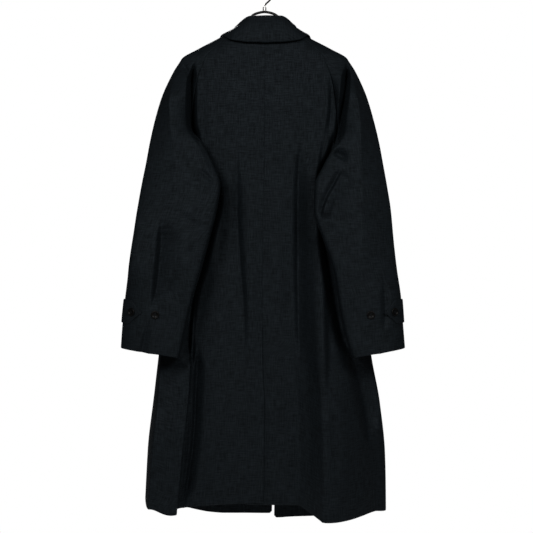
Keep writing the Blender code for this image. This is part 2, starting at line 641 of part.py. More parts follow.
def main():
    for obj in list(bpy.data.objects):
        bpy.data.objects.remove(obj)
    cloth = material("charcoal wool cloth", (0.010, 0.012, 0.014), 0.85)
    horn = material("dark horn", (0.010, 0.009, 0.009), 0.30)
    metal = material("plated steel", (0.62, 0.60, 0.56), 0.22, metallic=1.0)
    build_cloth(cloth)
    build_collar(cloth)
    build_cuff_tab(LEFT, "cuff_tab_left", cloth)
    build_cuff_tab(RIGHT, "cuff_tab_right", cloth)
    build_buttons(horn)
    build_hanger(metal)


main()
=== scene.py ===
"""The looks of a balmacaan coat on its hanger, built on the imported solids. Metres, +Z up; the back faces -Y.

Each cloth piece is a thin shell that follows its solid's form on a finer grid, with creases, rolled seams and
stitching. Heights on the coat are given as a drop below the collar's top edge at the centre back. Left and
right are the wearer's: left is -X.
"""

import math
from collections import namedtuple

import bmesh
import bpy
import numpy as np
from mathutils import Matrix, Vector, noise


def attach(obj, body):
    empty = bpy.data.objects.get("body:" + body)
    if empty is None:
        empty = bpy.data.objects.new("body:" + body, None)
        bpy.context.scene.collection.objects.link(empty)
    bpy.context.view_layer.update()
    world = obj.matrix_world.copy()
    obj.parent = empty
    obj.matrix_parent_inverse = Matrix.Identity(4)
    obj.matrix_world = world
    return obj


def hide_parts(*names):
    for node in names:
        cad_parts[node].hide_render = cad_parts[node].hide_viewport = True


BACK, FRONT = -1, 1
LEFT, RIGHT = -1, 1
SIDE_NAMES = {LEFT: "left", RIGHT: "right"}

# Heights
COLLAR_TOP = -0.0858
NECK_DROP = 0.033
BACK_NECK_DIP = 0.007
FRONT_NECK_DIP = 0.062
NECK_ROWS_END = 0.25
SHOULDER_TIP_DROP = 0.0916
UNDERARM_DROP = 0.380
CUFF_DROP = 0.758
CUFF_TILT = 0.010
VENT_TOP_DROP = 0.743
HEM_SIDE_DROP = 1.127

# The hem at each panel's centre line, and how much lower it hangs at the panel's main fold
Hem = namedtuple("Hem", "centre_drop sag")
HEMS = {
    (BACK, LEFT): Hem(1.095, 0.004),
    (BACK, RIGHT): Hem(1.099, 0.025),
    (FRONT, LEFT): Hem(1.158, 0.0),
    (FRONT, RIGHT): Hem(1.168, 0.006),
}
LEFT_HEM_LIFT = 0.024

# Cloth and seams
SEAM_DRAW = 0.00018
COLLAR_WALL = 0.003
TAB_WALL = 0.0025
LAP_DEPTH = 0.0038
VENT_LAP = 0.040
FRONT_LAP_TOP = 0.030
LEFT_LAP_HEM = 0.016
RIGHT_LAP_HEM = -0.022
CORNER_ROUND = 0.005
GIRTH = 1.2

# The body's plan at each height, and how far it swings to the right. A panel's outer seam is at an angle, in
# degrees, round from the panel's centre line: the raglan seam down to the underarm, and the side seam below.
BodySection = namedtuple("BodySection", "drop half_width back_depth front_depth back_seam front_seam swing")
BODY = [
    BodySection(0.028, 0.078, 0.038, 0.038, 57, 57, 0),
    BodySection(0.045, 0.1105, 0.040, 0.039, 53, 53, 0),
    BodySection(0.066, 0.151, 0.043, 0.042, 47, 47, 0),
    BodySection(0.0916, 0.192, 0.045, 0.045, 45, 45, 0),
    BodySection(0.130, 0.199, 0.047, 0.050, 49, 49, 0),
    BodySection(0.190, 0.203, 0.048, 0.058, 53, 53, 0),
    BodySection(0.250, 0.203, 0.048, 0.064, 56, 57, 0),
    BodySection(0.320, 0.202, 0.048, 0.068, 64, 72, 0),
    BodySection(0.380, 0.202, 0.048, 0.070, 75, 105, 0),
    BodySection(0.450, 0.2075, 0.049, 0.073, 85, 95, 0),
    BodySection(0.550, 0.219, 0.052, 0.078, 90, 90, 0),
    BodySection(0.769, 0.2445, 0.062, 0.089, 90, 90, 0.001),
    BodySection(0.880, 0.261, 0.070, 0.096, 90, 90, 0.0045),
    BodySection(0.990, 0.273, 0.078, 0.104, 90, 90, 0.004),
    BodySection(1.170, 0.279, 0.088, 0.114, 90, 90, 0.001),
]

# Sleeve sections: how far the outer and inner edges are from the centre line, where the edges lie along Y,
# and the depth from them to the sleeve's back and to its far side, next to the body.
SleeveSection = namedtuple(
    "SleeveSection", "drop left_outer left_inner right_outer right_inner edge_y back_depth far_depth"
)
SLEEVES = [
    SleeveSection(0.0916, 0.192, 0.150, 0.192, 0.150, 0.000, 0.040, 0.040),
    SleeveSection(0.1205, 0.210, 0.160, 0.210, 0.160, -0.006, 0.042, 0.042),
    SleeveSection(0.177, 0.234, 0.168, 0.233, 0.168, -0.020, 0.044, 0.044),
    SleeveSection(0.234, 0.249, 0.165, 0.248, 0.172, -0.037, 0.043, 0.030),
    SleeveSection(0.288, 0.259, 0.140, 0.259, 0.159, -0.055, 0.040, 0.017),
    SleeveSection(0.340, 0.267, 0.114, 0.267, 0.132, -0.069, 0.038, 0.022),
    SleeveSection(0.386, 0.275, 0.098, 0.274, 0.112, -0.080, 0.038, 0.032),
    SleeveSection(0.4405, 0.283, 0.106, 0.282, 0.110, -0.085, 0.039, 0.037),
    SleeveSection(0.508, 0.292, 0.123, 0.288, 0.131, -0.087, 0.041, 0.041),
    SleeveSection(0.575, 0.301, 0.142, 0.295, 0.154, -0.087, 0.043, 0.043),
    SleeveSection(0.642, 0.310, 0.162, 0.304, 0.165, -0.087, 0.044, 0.044),
    SleeveSection(0.709, 0.3165, 0.1775, 0.309, 0.179, -0.086, 0.045, 0.045),
    SleeveSection(0.758, 0.320, 0.188, 0.313, 0.195, -0.085, 0.046, 0.046),
]
SLEEVE_CREASE = 1.2
PRESSED = 9.0
FOREARM_PRESSED = 5.0
PRESSED_SPREAD = 0.75
UNDERARM_TURN = 0.29

# The pressed ridge down the back of each sleeve: how far it is from the centre line, and how sharp
SleeveRidge = namedtuple("SleeveRidge", "drop left right left_sharp right_sharp")
SLEEVE_RIDGES = [
    SleeveRidge(0.100, 0.196, 0.196, 0.0, 0.0),
    SleeveRidge(0.160, 0.2095, 0.203, 0.8, 0.7),
    SleeveRidge(0.194, 0.214, 0.210, 1.0, 0.9),
    SleeveRidge(0.239, 0.212, 0.2135, 0.9, 0.9),
    SleeveRidge(0.284, 0.205, 0.2145, 0.8, 1.0),
    SleeveRidge(0.340, 0.198, 0.2135, 0.7, 0.9),
    SleeveRidge(0.396, 0.197, 0.2150, 0.6, 0.9),
    SleeveRidge(0.452, 0.193, 0.2135, 0.3, 1.0),
    SleeveRidge(0.540, 0.190, 0.2150, 0.0, 0.7),
    SleeveRidge(0.640, 0.190, 0.2140, 0.0, 0.0),
]

# Folds of a panel. A fold is a ridge, or a trough where its height is negative: it grows between starts and
# full, dies between fades and ends, and its share of the panel's width drifts from top to bottom. It leans
# towards the centre. Its inner side rises by the power curl. Its outer side stays level for a share of its
# width before it falls, and swells there below the cuff.
Fold = namedtuple(
    "Fold", "face side starts full fades ends share_top share_bottom height inner outer lean curl level swell"
)
HEM_RUN = 2.0
MAIN_FOLDS = [
    Fold(BACK, LEFT, 0.52, 0.96, HEM_RUN, 3.0, 0.478, 0.562, 0.038, 0.044, 0.132, 0.020, 4.0, 0.86, 0.60),
    Fold(BACK, RIGHT, 0.42, 0.95, HEM_RUN, 3.0, 0.345, 0.305, 0.050, 0.042, 0.150, 0.008, 1.1, 0.0, 0.0),
    Fold(FRONT, LEFT, 0.45, 1.05, HEM_RUN, 3.0, 0.50, 0.46, 0.026, 0.045, 0.080, 0.010, 1.4, 0.0, 0.0),
    Fold(FRONT, RIGHT, 0.50, 1.05, HEM_RUN, 3.0, 0.44, 0.52, 0.028, 0.040, 0.090, 0.012, 1.4, 0.0, 0.0),
]
FLANK_FOLDS = {(fold.face, fold.side): fold for fold in MAIN_FOLDS}
SOFT_FOLDS = [
    Fold(BACK, LEFT, 0.34, 0.46, 0.62, 0.86, 0.21, 0.10, -0.007, 0.020, 0.040, 0.0, 1.4, 0.0, 0.0),
    Fold(BACK, RIGHT, 0.33, 0.60, HEM_RUN, 3.0, 0.25, 0.24, -0.010, 0.075, 0.035, 0.0, 1.4, 0.0, 0.0),
    Fold(FRONT, LEFT, 0.40, 0.70, HEM_RUN, 3.0, 0.25, 0.24, -0.009, 0.050, 0.050, 0.0, 1.4, 0.0, 0.0),
    Fold(FRONT, RIGHT, 0.35, 0.75, HEM_RUN, 3.0, 0.27, 0.29, -0.010, 0.045, 0.045, 0.0, 1.4, 0.0, 0.0),
]

# Where shapes come in or go out down the coat, each between two drops
CENTRE_SWAYS = (0.10, 0.70)
FOLD_SWELLS = (0.78, 0.95)
VENT_SINKS = (VENT_TOP_DROP - 0.06, VENT_TOP_DROP - 0.014)
VENT_LAPS = (VENT_TOP_DROP - 0.010, VENT_TOP_DROP + 0.030)
FRONT_PARTS = (0.45, 1.16)
CAP_TO_TUBE = (SHOULDER_TIP_DROP, 0.19)
SEAM_TURNS_IN, SEAM_TURNS_BACK = (0.22, 0.36), (0.40, 0.72)
SEAM_PULL_NARROWS = (0.12, 0.30)
SLEEVE_PRESSED = (0.25, 0.33)
FOREARM_STARTS, FOREARM_ENDS = (0.38, 0.47), (0.56, 0.635)
CUFF_TILTS = (0.45, CUFF_DROP)
CUFF_CALMS = (0.58, 0.63)

# The collar from the centre back, 0, to the centre front, 1: its fold line and its outer edge.
CollarSection = namedtuple("CollarSection", "around fold_x fold_y fold_drop edge_x edge_y edge_drop")
COLLAR = [
    CollarSection(0.00, 0.000, -0.039, -0.0030, 0.000, -0.0535, 0.0610),
    CollarSection(0.20, 0.036, -0.037, -0.0027, 0.042, -0.0515, 0.0590),
    CollarSection(0.24, 0.042, -0.034, -0.0012, 0.052, -0.0495, 0.0578),
    CollarSection(0.36, 0.059, -0.024, 0.0108, 0.080, -0.0405, 0.0515),
    CollarSection(0.48, 0.068, -0.004, 0.0170, 0.100, -0.011, 0.0370),
    CollarSection(0.60, 0.063, 0.018, 0.021, 0.110, 0.038, 0.056),
    CollarSection(0.80, 0.042, 0.038, 0.045, 0.096, 0.061, 0.110),
    CollarSection(1.00, 0.003, 0.049, 0.075, 0.050, 0.067, 0.152),
]
COLLAR_ROLL = 0.0032
COLLAR_SHIFT = 0.003
COLLAR_BULGE = 0.004
BACK_NECK_SHARE = 0.42
SHOULDER_NECK_SHARE = 0.54

# Cuff tab and buttons
TAB_DROP = 0.673
TAB_WIDTH = 0.054
TAB_LENGTH = 0.062
TAB_TIP = 0.003
TAB_CLEARANCE = 0.0007
CUFF_BUTTON_ALONG = 0.040
SPARE_BUTTON_ALONG = 0.094
CUFF_BUTTON_RADIUS = 0.009
FRONT_BUTTON_RADIUS = 0.0115
FRONT_BUTTON_DROPS = (0.200, 0.360, 0.520, 0.680)
BUTTON_CLEARANCE = 0.0006
BUTTON_THICK = 0.0032
HOLE_PLACE, HOLE_RADIUS = 0.2, 0.095
# A button from its dished middle over its rim to its flat back, in shares of its radius and thickness
BUTTON_PROFILE = [
    (0.0, 0.58), (0.30, 0.56), (0.52, 0.62), (0.62, 0.80), (0.70, 0.95), (0.79, 1.0), (0.88, 0.97),
    (0.96, 0.84), (1.0, 0.62), (0.98, 0.36), (0.88, 0.14), (0.6, 0.0), (0.0, 0.0),
]

# Hanger
BAR_RADIUS = 0.003
HOOK_RADIUS = 0.002
HOOK_BOW_RADIUS = 0.021
HOOK_STEM_TOP = -0.054
FERRULE_TOP = -0.0565
FERRULE_RADIUS = 0.0045
BarPoint = namedtuple("BarPoint", "x drop")
BAR = [
    BarPoint(0.000, -0.0190),
    BarPoint(0.014, -0.0168),
    BarPoint(0.027, -0.0112),
    BarPoint(0.045, 0.0110),
    BarPoint(0.066, 0.0345),
    BarPoint(0.088, 0.0455),
    BarPoint(0.115, 0.0565),
    BarPoint(0.1475, 0.0708),
    BarPoint(0.184, 0.0935),
]

# The finer grid of the shells, with rows and columns close together at the edges
UPPER_ROWS = np.linspace(NECK_DROP, UNDERARM_DROP, 110)
LAST_ROWS = np.array([0.0016, 0])
LOWER_ROWS = np.append(np.linspace(UNDERARM_DROP, HEM_SIDE_DROP, 170)[1:-1], HEM_SIDE_DROP - LAST_ROWS)
SLEEVE_ROWS = np.append(np.linspace(UNDERARM_DROP, CUFF_DROP, 112)[1:-1], CUFF_DROP - LAST_ROWS)
BACK_COLUMNS, FRONT_COLUMNS = 118, 62
BACK_HALF_COLUMNS, FRONT_HALF_COLUMNS = 156, 36
COLLAR_COLUMNS, COLLAR_ROWS = 96, 34
TAB_COLUMNS, TAB_ROWS = 34, 22
EDGE_PLACES = (0.0, 0.004, 0.009)
FOLD_FOOT, FOLD_LIP = 0.42, 0.60
CREASE_STEPS = 48
CREASE_POINT = 0.35
CUSP = 1.5
SEAM_CALM = 0.016
VALLEY_SHUT = 0.012

# Creases of each piece, seen square on to the back or front, in millimetres. Each runs through a few points,
# X and drop, and lifts the cloth towards the viewer by its height, or sinks it where that is negative. It
# falls off over two widths: for a run that goes down, left is the side towards -X. Over a share of its length
# it fades and narrows to each end.
Crease = namedtuple("Crease", "run height left right sharp fade")
CREASES = {
    # the valleys at the armholes, in the sleeves and the back panels alike
    "back_all": [
        Crease(((-160, 98), (-168, 150), (-169, 205), (-167, 246), (-156, 275), (-142, 300)),
               -44, 9, 16, 0.7, 0.22),
        Crease(((190, 98), (187, 135), (182, 175), (176, 220), (171, 262), (160, 302)),
               -44, 14, 11, 0.7, 0.2),
    ],
    # the fold from the shoulder's tip, and the folds at the elbow and forearm
    "sleeve_left_back": [
        Crease(((-192, 96), (-176, 122), (-164, 150)), -6, 9, 8, 0.6, 0.35),
        Crease(((-152, 290), (-132, 335), (-118, 372)), 4, 14, 10, 0.6, 0.35),
        Crease(((-106, 388), (-118, 376), (-148, 350)), -5, 10, 8, 0.7, 0.35),
        Crease(((-186, 440), (-166, 466), (-132, 484)), -3.6, 10, 14, 0.7, 0.35),
        Crease(((-226, 455), (-229, 520), (-233.5, 575), (-239, 620), (-250, 665)), -21, 11, 52, 0.9, 0.28),
        Crease(((-168, 520), (-186, 640)), 3, 20, 20, 0.4, 0.35),
        Crease(((-196, 586), (-222, 622)), -2.2, 8, 10, 0.6, 0.35),
        Crease(((-254, 684), (-262, 720), (-270, 757), (-276, 800)), -8, 9, 18, 0.6, 0.35),
    ],
    # the folded patch under the arm, and the forearm
    "sleeve_right_back": [
        Crease(((170, 350), (151, 387), (138, 409), (129, 431), (121, 460)), -8, 13, 4, 0.8, 0.15),
        Crease(((174, 352), (155, 389), (142, 411), (133, 433), (125, 462)), 11, 4, 45, 0.9, 0.15),
        Crease(((146, 314), (162, 318), (186, 336)), -18, 8, 22, 0.5, 0.4),
        Crease(((176, 392), (196, 396), (212, 404)), -1.6, 7, 7, 0.5, 0.35),
        Crease(((158, 412), (150, 440), (142, 470)), -3, 8, 10, 0.5, 0.35),
        Crease(((130, 472), (152, 486), (178, 516)), -3, 12, 14, 0.6, 0.35),
        Crease(((262, 590), (266, 660), (262, 720)), -7, 14, 14, 0.5, 0.35),
        Crease(((180, 540), (205, 680)), 2.4, 20, 18, 0.4, 0.35),
    ],
    "back": [
        # drag lines below the right shoulder
        Crease(((145, 112), (143, 190), (132, 285)), 4.5, 14, 8, 0.4, 0.3),
        Crease(((156, 130), (154, 190), (145, 275)), -6, 8, 10, 0.5, 0.3),
        Crease(((-128, 140), (-120, 330)), 1.6, 16, 20, 0.3, 0.35),
        # the soft crease left of the middle, and the trough and rise on the right towards the flank
        Crease(((-62, 270), (-62, 430), (-56, 540), (-47, 660), (-43, 800)), -8.5, 18, 13, 0.9, 0.3),
        Crease(((-36, 290), (-34, 540), (-26, 760)), 6, 40, 36, 0.2, 0.35),
        Crease(((-96, 330), (-100, 480), (-104, 640)), -4, 20, 24, 0.3, 0.35),
        Crease(((88, 250), (77, 350), (75, 480), (76, 620), (80, 820)), -13, 12, 24, 1.0, 0.25),
        Crease(((132, 260), (118, 360), (117, 440), (124, 520), (131, 640), (134, 880)),
               20, 46, 13, 0.35, 0.22),
        # the hollows beside the sleeves, and the right one's fold across the flank
        Crease(((-168, 245), (-152, 292), (-134, 322), (-122, 350), (-114, 380)), -18, 20, 9, 0.8, 0.25),
        Crease(((-104, 350), (-109, 420), (-124, 490), (-143, 566), (-164, 642), (-172, 730), (-158, 810)),
               -30, 30, 17, 0.85, 0.15),
        Crease(((160, 255), (147, 310), (128, 350), (117, 386)), -20, 9, 20, 0.8, 0.25),
        Crease(((124, 450), (137, 520), (149, 585), (160, 650), (174, 720), (200, 785)),
               -32, 18, 50, 0.85, 0.2),
        Crease(((186, 735), (199, 778), (209, 812), (224.5, 870), (234, 930), (238, 990)),
               -33, 24, 46, 0.4, 0.4),
        # the hollow beside the left flank's lip
        Crease(((-150, 740), (-154, 800), (-157, 870), (-159, 925), (-170, 1030), (-184, 1112)),
               -18, 6, 22, 0.4, 0.16),
        # storage creases across, and the skirt's slow waves
        Crease(((-66, 978), (-30, 992), (18, 998)), -1.2, 5, 6, 0.8, 0.3),
        Crease(((-252, 996), (-222, 1000), (-186, 1012)), -1.2, 5, 6, 0.8, 0.3),
        Crease(((30, 480), (36, 700)), 2, 26, 30, 0.2, 0.35),
        Crease(((150, 860), (158, 1060)), -3, 14, 20, 0.4, 0.35),
        Crease(((196, 960), (206, 1110)), -3, 14, 20, 0.4, 0.35),
    ],
    # the fall from the shoulders, the pull of the buttons and a storage crease
    "front": [
        Crease(((118, 130), (114, 230), (100, 330)), 3, 14, 16, 0.4, 0.35),
        Crease(((-124, 135), (-116, 240), (-104, 350)), 2.8, 16, 14, 0.4, 0.35),
        Crease(((75, 400), (78, 580), (85, 760)), 4, 22, 20, 0.3, 0.35),
        Crease(((-70, 420), (-80, 600), (-82, 800)), 3.6, 20, 22, 0.3, 0.35),
        Crease(((30, 215), (60, 232), (90, 262)), -1.8, 10, 10, 0.5, 0.35),
        Crease(((-40, 375), (-72, 392), (-100, 420)), -1.8, 10, 10, 0.5, 0.35),
        Crease(((-150, 985), (-114, 992), (-80, 1004)), -1.2, 5, 6, 0.8, 0.3),
    ],
}

# Slow unevenness of hung cloth: how high it is and how long, across and down
Ripple = namedtuple("Ripple", "height across down")
RIPPLES = [Ripple(0.0011, 0.075, 0.190), Ripple(0.0005, 0.028, 0.060)]

# Seams and stitching
SHELL_WALL = 0.0016
SEAM_ROLL = 0.0030
SEAM_DIP = 0.0006
STITCH_PITCH = 0.0036
STITCH_LENGTH = 0.0027
STITCH_WIDTH = 0.00055
STITCH_HEIGHT = 0.00034
RAGLAN_STITCH = 0.0065
HEM_STITCH = 0.0070
CUFF_STITCH = 0.0045
EDGE_STITCH = 0.0050
VENT_STITCH_LENGTH = 0.040
RIM_BULGE = 0.35

# Colours and the weave
CLOTH_COLOUR = (0.0060, 0.0086, 0.0108)
GLOSS_TINT = (0.77, 0.90, 1.0, 1.0)
THREAD_COLOUR = (0.014, 0.016, 0.018)
HORN_DARK, HORN_LIGHT = (0.002, 0.002, 0.0024), (0.006, 0.005, 0.004)
STEEL_COLOUR = (0.42, 0.41, 0.40, 1)
FLOOR_COLOUR = (0.75, 0.75, 0.75, 1)
TONE_SPAN = (0.38, 0.64)
YARN = 0.0009
WEAVE_SHIFT = 0.173

# The stage: each light's place, power and size, and the camera
Light = namedtuple("Light", "name place power size")
LIGHTS = [
    Light("key_left", (-1.00, -2.20, 0.40), 13.9, 0.6),
    Light("key_right", (1.05, -2.20, 0.40), 14.1, 0.6),
    Light("front", (-0.50, 2.60, 0.90), 44.0, 0.6),
]
BACKDROP, SURROUND = 1.0, 0.035
FLOOR_DROP = 1.52
FLOOR_RADIUS = 1.4
CAMERA_X = 0.0045
CAMERA_DISTANCE = 2.66
CAMERA_DROP = 0.5669
SENSOR = 36.0
FOCAL_PIXELS = 1155.6
FRAME_PIXELS = 533


def ramp(value, low, high):
    """0 below low and 1 above high, with a smooth rise between."""
    t = np.clip((value - low) / (high - low), 0.0, 1.0)
    return t * t * (3 - 2 * t)


def along(table, name, place):
    """A table's column as a smooth curve that doesn't overshoot its rows. The first column is the place."""
    rows = np.array(table, float)
    x, y = rows[:, 0], rows[:, table[0]._fields.index(name)]
    slope = np.diff(y) / np.diff(x)
    tangent = np.concatenate([slope[:1], np.zeros(len(x) - 2), slope[-1:]])
    for k in range(1, len(x) - 1):
        if slope[k - 1] * slope[k] > 0:
            tangent[k] = 2 * slope[k - 1] * slope[k] / (slope[k - 1] + slope[k])
    i = np.clip(np.searchsorted(x, place) - 1, 0, len(x) - 2)
    step = x[i + 1] - x[i]
    t = np.clip((place - x[i]) / step, 0.0, 1.0)
    start = (1 + 2 * t) * (1 - t) ** 2 * y[i] + t * (1 - t) ** 2 * step * tangent[i]
    return start + t * t * (3 - 2 * t) * y[i + 1] + t * t * (t - 1) * step * tangent[i + 1]


def edge_refined(columns):
    """Places from 0 to 1, with a few close together at each end for the roll of the seams."""
    ends = np.array(EDGE_PLACES)
    middle = np.linspace(0, 1, columns)
    middle = middle[(middle > 1.3 * ends[-1]) & (middle < 1 - 1.3 * ends[-1])]
    return np.concatenate([ends, middle, 1 - ends[::-1]])


def centre_back(drop):
    """Where the centre back seam hangs."""
    return 0.001 - 0.006 * ramp(drop, *CENTRE_SWAYS)


def fold_shift(fold, drop, share, width):
    """How far out of the panel a fold lifts each point, as a share of its height."""
    strength = ramp(drop, fold.starts, fold.full) * (1 - ramp(drop, fold.fades, fold.ends))
    q = (share - fold_share(fold, drop)) * GIRTH * width
    inner = np.clip(1 + q / fold.inner, 0, 1) ** fold.curl
    swell = 1 + fold.swell * ramp(drop, *FOLD_SWELLS) * np.clip(q / fold.outer, 0, 1)
    return strength * np.where(q < 0, inner, swell * (1 - ramp(q, fold.level * fold.outer, fold.outer)))


def fold_share(fold, drop):
    way = np.clip((drop - fold.starts) / (HEM_SIDE_DROP - fold.starts), 0, 1)
    return fold.share_top + (fold.share_bottom - fold.share_top) * way


def seam_angle(face, drop):
    back = np.radians(along(BODY, "back_seam", drop))
    if face == BACK:
        return back
    return np.where(drop < UNDERARM_DROP, np.radians(along(BODY, "front_seam", drop)), math.pi - back)


def body_point(face, side, drop, share):
    """A point on the cloth's outer side: share runs from the centre line, 0, to the panel's outer seam, 1."""
    width = along(BODY, "half_width", drop)
    angle = share * seam_angle(face, drop)
    on_back = (face == BACK) ^ (angle > math.pi / 2)
    depth = np.where(on_back, along(BODY, "back_depth", drop), along(BODY, "front_depth", drop))
    x, y = width * np.sin(angle), face * depth * np.cos(angle)
    out = np.stack([x / width**2, y / depth**2])
    out /= np.linalg.norm(out, axis=0)
    inward = np.stack([-width * np.cos(angle), face * depth * np.sin(angle)])
    inward /= np.linalg.norm(inward, axis=0)
    for fold in [*MAIN_FOLDS, *SOFT_FOLDS]:
        if fold.face == face:
            reach = share if fold.side == side else -share
            lift = fold_shift(fold, drop, reach, width) * (reach > 0)
            sideways = 1.0 if fold.level == 0 else 0.0
            x = x + lift * (fold.height * sideways * out[0] + fold.lean * inward[0])
            y = y + lift * (fold.height * (out[1] if sideways else face) + fold.lean * inward[1])
    if (face, side) == (BACK, RIGHT):
        below = ramp(drop, *VENT_SINKS)
        y = y + LAP_DEPTH * below * (1 - ramp(x, 0.001, 0.016))
    if (face, side) == (FRONT, RIGHT):
        y = y - LAP_DEPTH * (1 - ramp(x, FRONT_LAP_TOP + 0.004, FRONT_LAP_TOP + 0.024))
    x = side * x + along(BODY, "swing", drop)
    if face == BACK:
        x = x + centre_back(drop) * (1 - np.clip(share, 0, 1)) ** 2
    return np.stack([x, y, COLLAR_TOP - drop], axis=-1)


def first_share(face, side, drop):
    """Where a panel begins: at the centre seam, or past the centre line where it laps over its neighbour."""
    quarter = along(BODY, "half_width", drop) * seam_angle(face, drop)
    if (face, side) == (BACK, RIGHT):
        return -VENT_LAP / quarter * ramp(drop, *VENT_LAPS)
    if face == FRONT:
        hem = LEFT_LAP_HEM if side == LEFT else RIGHT_LAP_HEM
        return -(FRONT_LAP_TOP + (hem - FRONT_LAP_TOP) * ramp(drop, *FRONT_PARTS)) / quarter
    return np.zeros_like(drop)


def hem_drop(face, side, share):
    """The hem tips down towards the front, and the front corners are rounded."""
    hem = HEMS[face, side]
    width = BODY[-1].half_width
    sag = hem.sag * np.minimum(1, fold_shift(FLANK_FOLDS[face, side], HEM_SIDE_DROP, share, width))
    drop = HEM_SIDE_DROP + (hem.centre_drop - HEM_SIDE_DROP) * np.cos(share * math.pi / 2) ** 2 + sag
    if (face, side) == (BACK, LEFT):
        drop = drop - LEFT_HEM_LIFT * ramp(share, 0.58, 0.90)
    if (face, side) == (FRONT, LEFT):
        drop = drop - LEFT_HEM_LIFT * ramp(share, 0.76, 1.0)
    if face == FRONT:
        from_edge = (share - share.min()) * GIRTH * width
        drop = drop - CORNER_ROUND * (1 - ramp(from_edge, 0, CORNER_ROUND)) ** 2
    return drop


def neck_dip(face, share):
    """How far the neckline dips below the shoulder's neck point, most at the centre."""
    return (BACK_NECK_DIP if face == BACK else FRONT_NECK_DIP) * ramp(np.clip(1 - share, 0, 1) ** 0.75, 0, 1)


def panel_shares(face, side, drop, columns, centre_drop):
    """The shares of a row's points, drawn together at the panel's main fold."""
    fold = FLANK_FOLDS[face, side]
    width = along(BODY, "half_width", drop)
    lip = fold_share(fold, drop)
    foot = max(lip - fold.inner / (GIRTH * width), lip / 2)
    first = first_share(face, side, centre_drop)
    return np.interp(edge_refined(columns), [0, FOLD_FOOT, FOLD_LIP, 1], [first, foot, lip, 1])


def panel_grid(face, side, columns):
    """The outer points of a body panel, a row for each height from neckline to hem."""
    rows = []
    for drop in UPPER_ROWS:
        left_of_dip = 1 - min(1, (drop - NECK_DROP) / (NECK_ROWS_END - NECK_DROP))
        share = panel_shares(face, side, drop, columns, drop + left_of_dip * neck_dip(face, 0.0))
        rows.append(body_point(face, side, drop + left_of_dip * neck_dip(face, share), share))
    for drop in LOWER_ROWS:
        part = (drop - UNDERARM_DROP) / (HEM_SIDE_DROP - UNDERARM_DROP)
        centre_drop = UNDERARM_DROP + part * (HEMS[face, side].centre_drop - UNDERARM_DROP)
        share = panel_shares(face, side, drop, columns, centre_drop)
        drops = UNDERARM_DROP + part * (hem_drop(face, side, share) - UNDERARM_DROP)
        rows.append(body_point(face, side, drops, share))
    return np.array(rows)


def sleeve_edges(side, drop):
    return [along(SLEEVES, f"{SIDE_NAMES[side]}_{edge}", drop) for edge in ("outer", "inner")]


def shoulder_point(side, drop, turn):
    """The sleeve over the shoulder: turn runs from the back raglan seam, 0, over to the front one, 1."""
    width = along(BODY, "half_width", drop)
    seam = seam_angle(BACK, drop)
    angle = seam + (math.pi - seam - seam_angle(FRONT, drop)) * turn
    depth = np.where(angle < math.pi / 2, along(BODY, "back_depth", drop), along(BODY, "front_depth", drop))
    outer = width if drop <= SHOULDER_TIP_DROP else sleeve_edges(side, drop)[0]
    x = width * np.sin(angle)
    x = x + (outer - width) * np.sin(math.pi * turn) ** 2
    return np.stack([side * x, -depth * np.cos(angle)], axis=-1)


def squared(inside, power):
    """The height of a rounded edge, from its foot, 0, to the level beyond it, 1."""
    return (1 - np.clip(1 - inside, 0, 1) ** power) ** (1 / power)


def roof(side, drop, x, inner, outer, power):
    """A pressed sleeve's height across its back: flat up to the ridge, and sloping down beyond it."""
    ridge = along(SLEEVE_RIDGES, SIDE_NAMES[side], drop)
    outside = np.clip((x - ridge) / (outer - ridge), 0, 1)
    return np.where(x < ridge, squared((x - inner) / (ridge - inner), power), (1 - outside) ** 0.85)


def tube_point(side, drop, turn):
    """The sleeve as a creased tube: turn runs from the underarm seam, 0, by the back to the outer edge, 0.5.

    The seam follows the inner edge, except near the underarm, where it lies on the side next to the body. The
    inner edge is pressed below the armhole, and the left sleeve's outer side at the forearm.
    """
    outer, inner = sleeve_edges(side, drop)
    behind = UNDERARM_TURN * ramp(drop, *SEAM_TURNS_IN) * (1 - ramp(drop, *SEAM_TURNS_BACK))
    place = np.where(turn < 0.5, turn - behind * (1 - 2 * turn), turn - behind * (2 * turn - 1))
    c, s = np.cos(2 * math.pi * place), np.sin(2 * math.pi * place)
    below = ramp(drop, *SLEEVE_PRESSED)
    power = 2 + (PRESSED - 2) * below
    pressed = (s > 0) & (c > 0)
    spread = SLEEVE_CREASE + (PRESSED_SPREAD - SLEEVE_CREASE) * below
    inwards = np.sign(c) * abs(c) ** np.where(pressed, spread, SLEEVE_CREASE)
    x = (outer + inner) / 2 - (outer - inner) / 2 * inwards
    depth = np.where(s > 0, along(SLEEVES, "back_depth", drop), along(SLEEVES, "far_depth", drop))
    forearm = ramp(drop, *FOREARM_STARTS) * (1 - ramp(drop, *FOREARM_ENDS)) * (side == LEFT)
    outwards = s + forearm * (squared(1 - abs(inwards), FOREARM_PRESSED) - s)
    flat = np.where(pressed, squared(1 - abs(inwards), power), outwards)
    sharp = along(SLEEVE_RIDGES, SIDE_NAMES[side] + "_sharp", drop)
    ridged = roof(side, drop, x, inner, outer, power)
    rise = np.where(s > 0, flat + sharp * (ridged - flat), s)
    y = along(SLEEVES, "edge_y", drop) - depth * rise
    return np.stack([side * x, y], axis=-1)


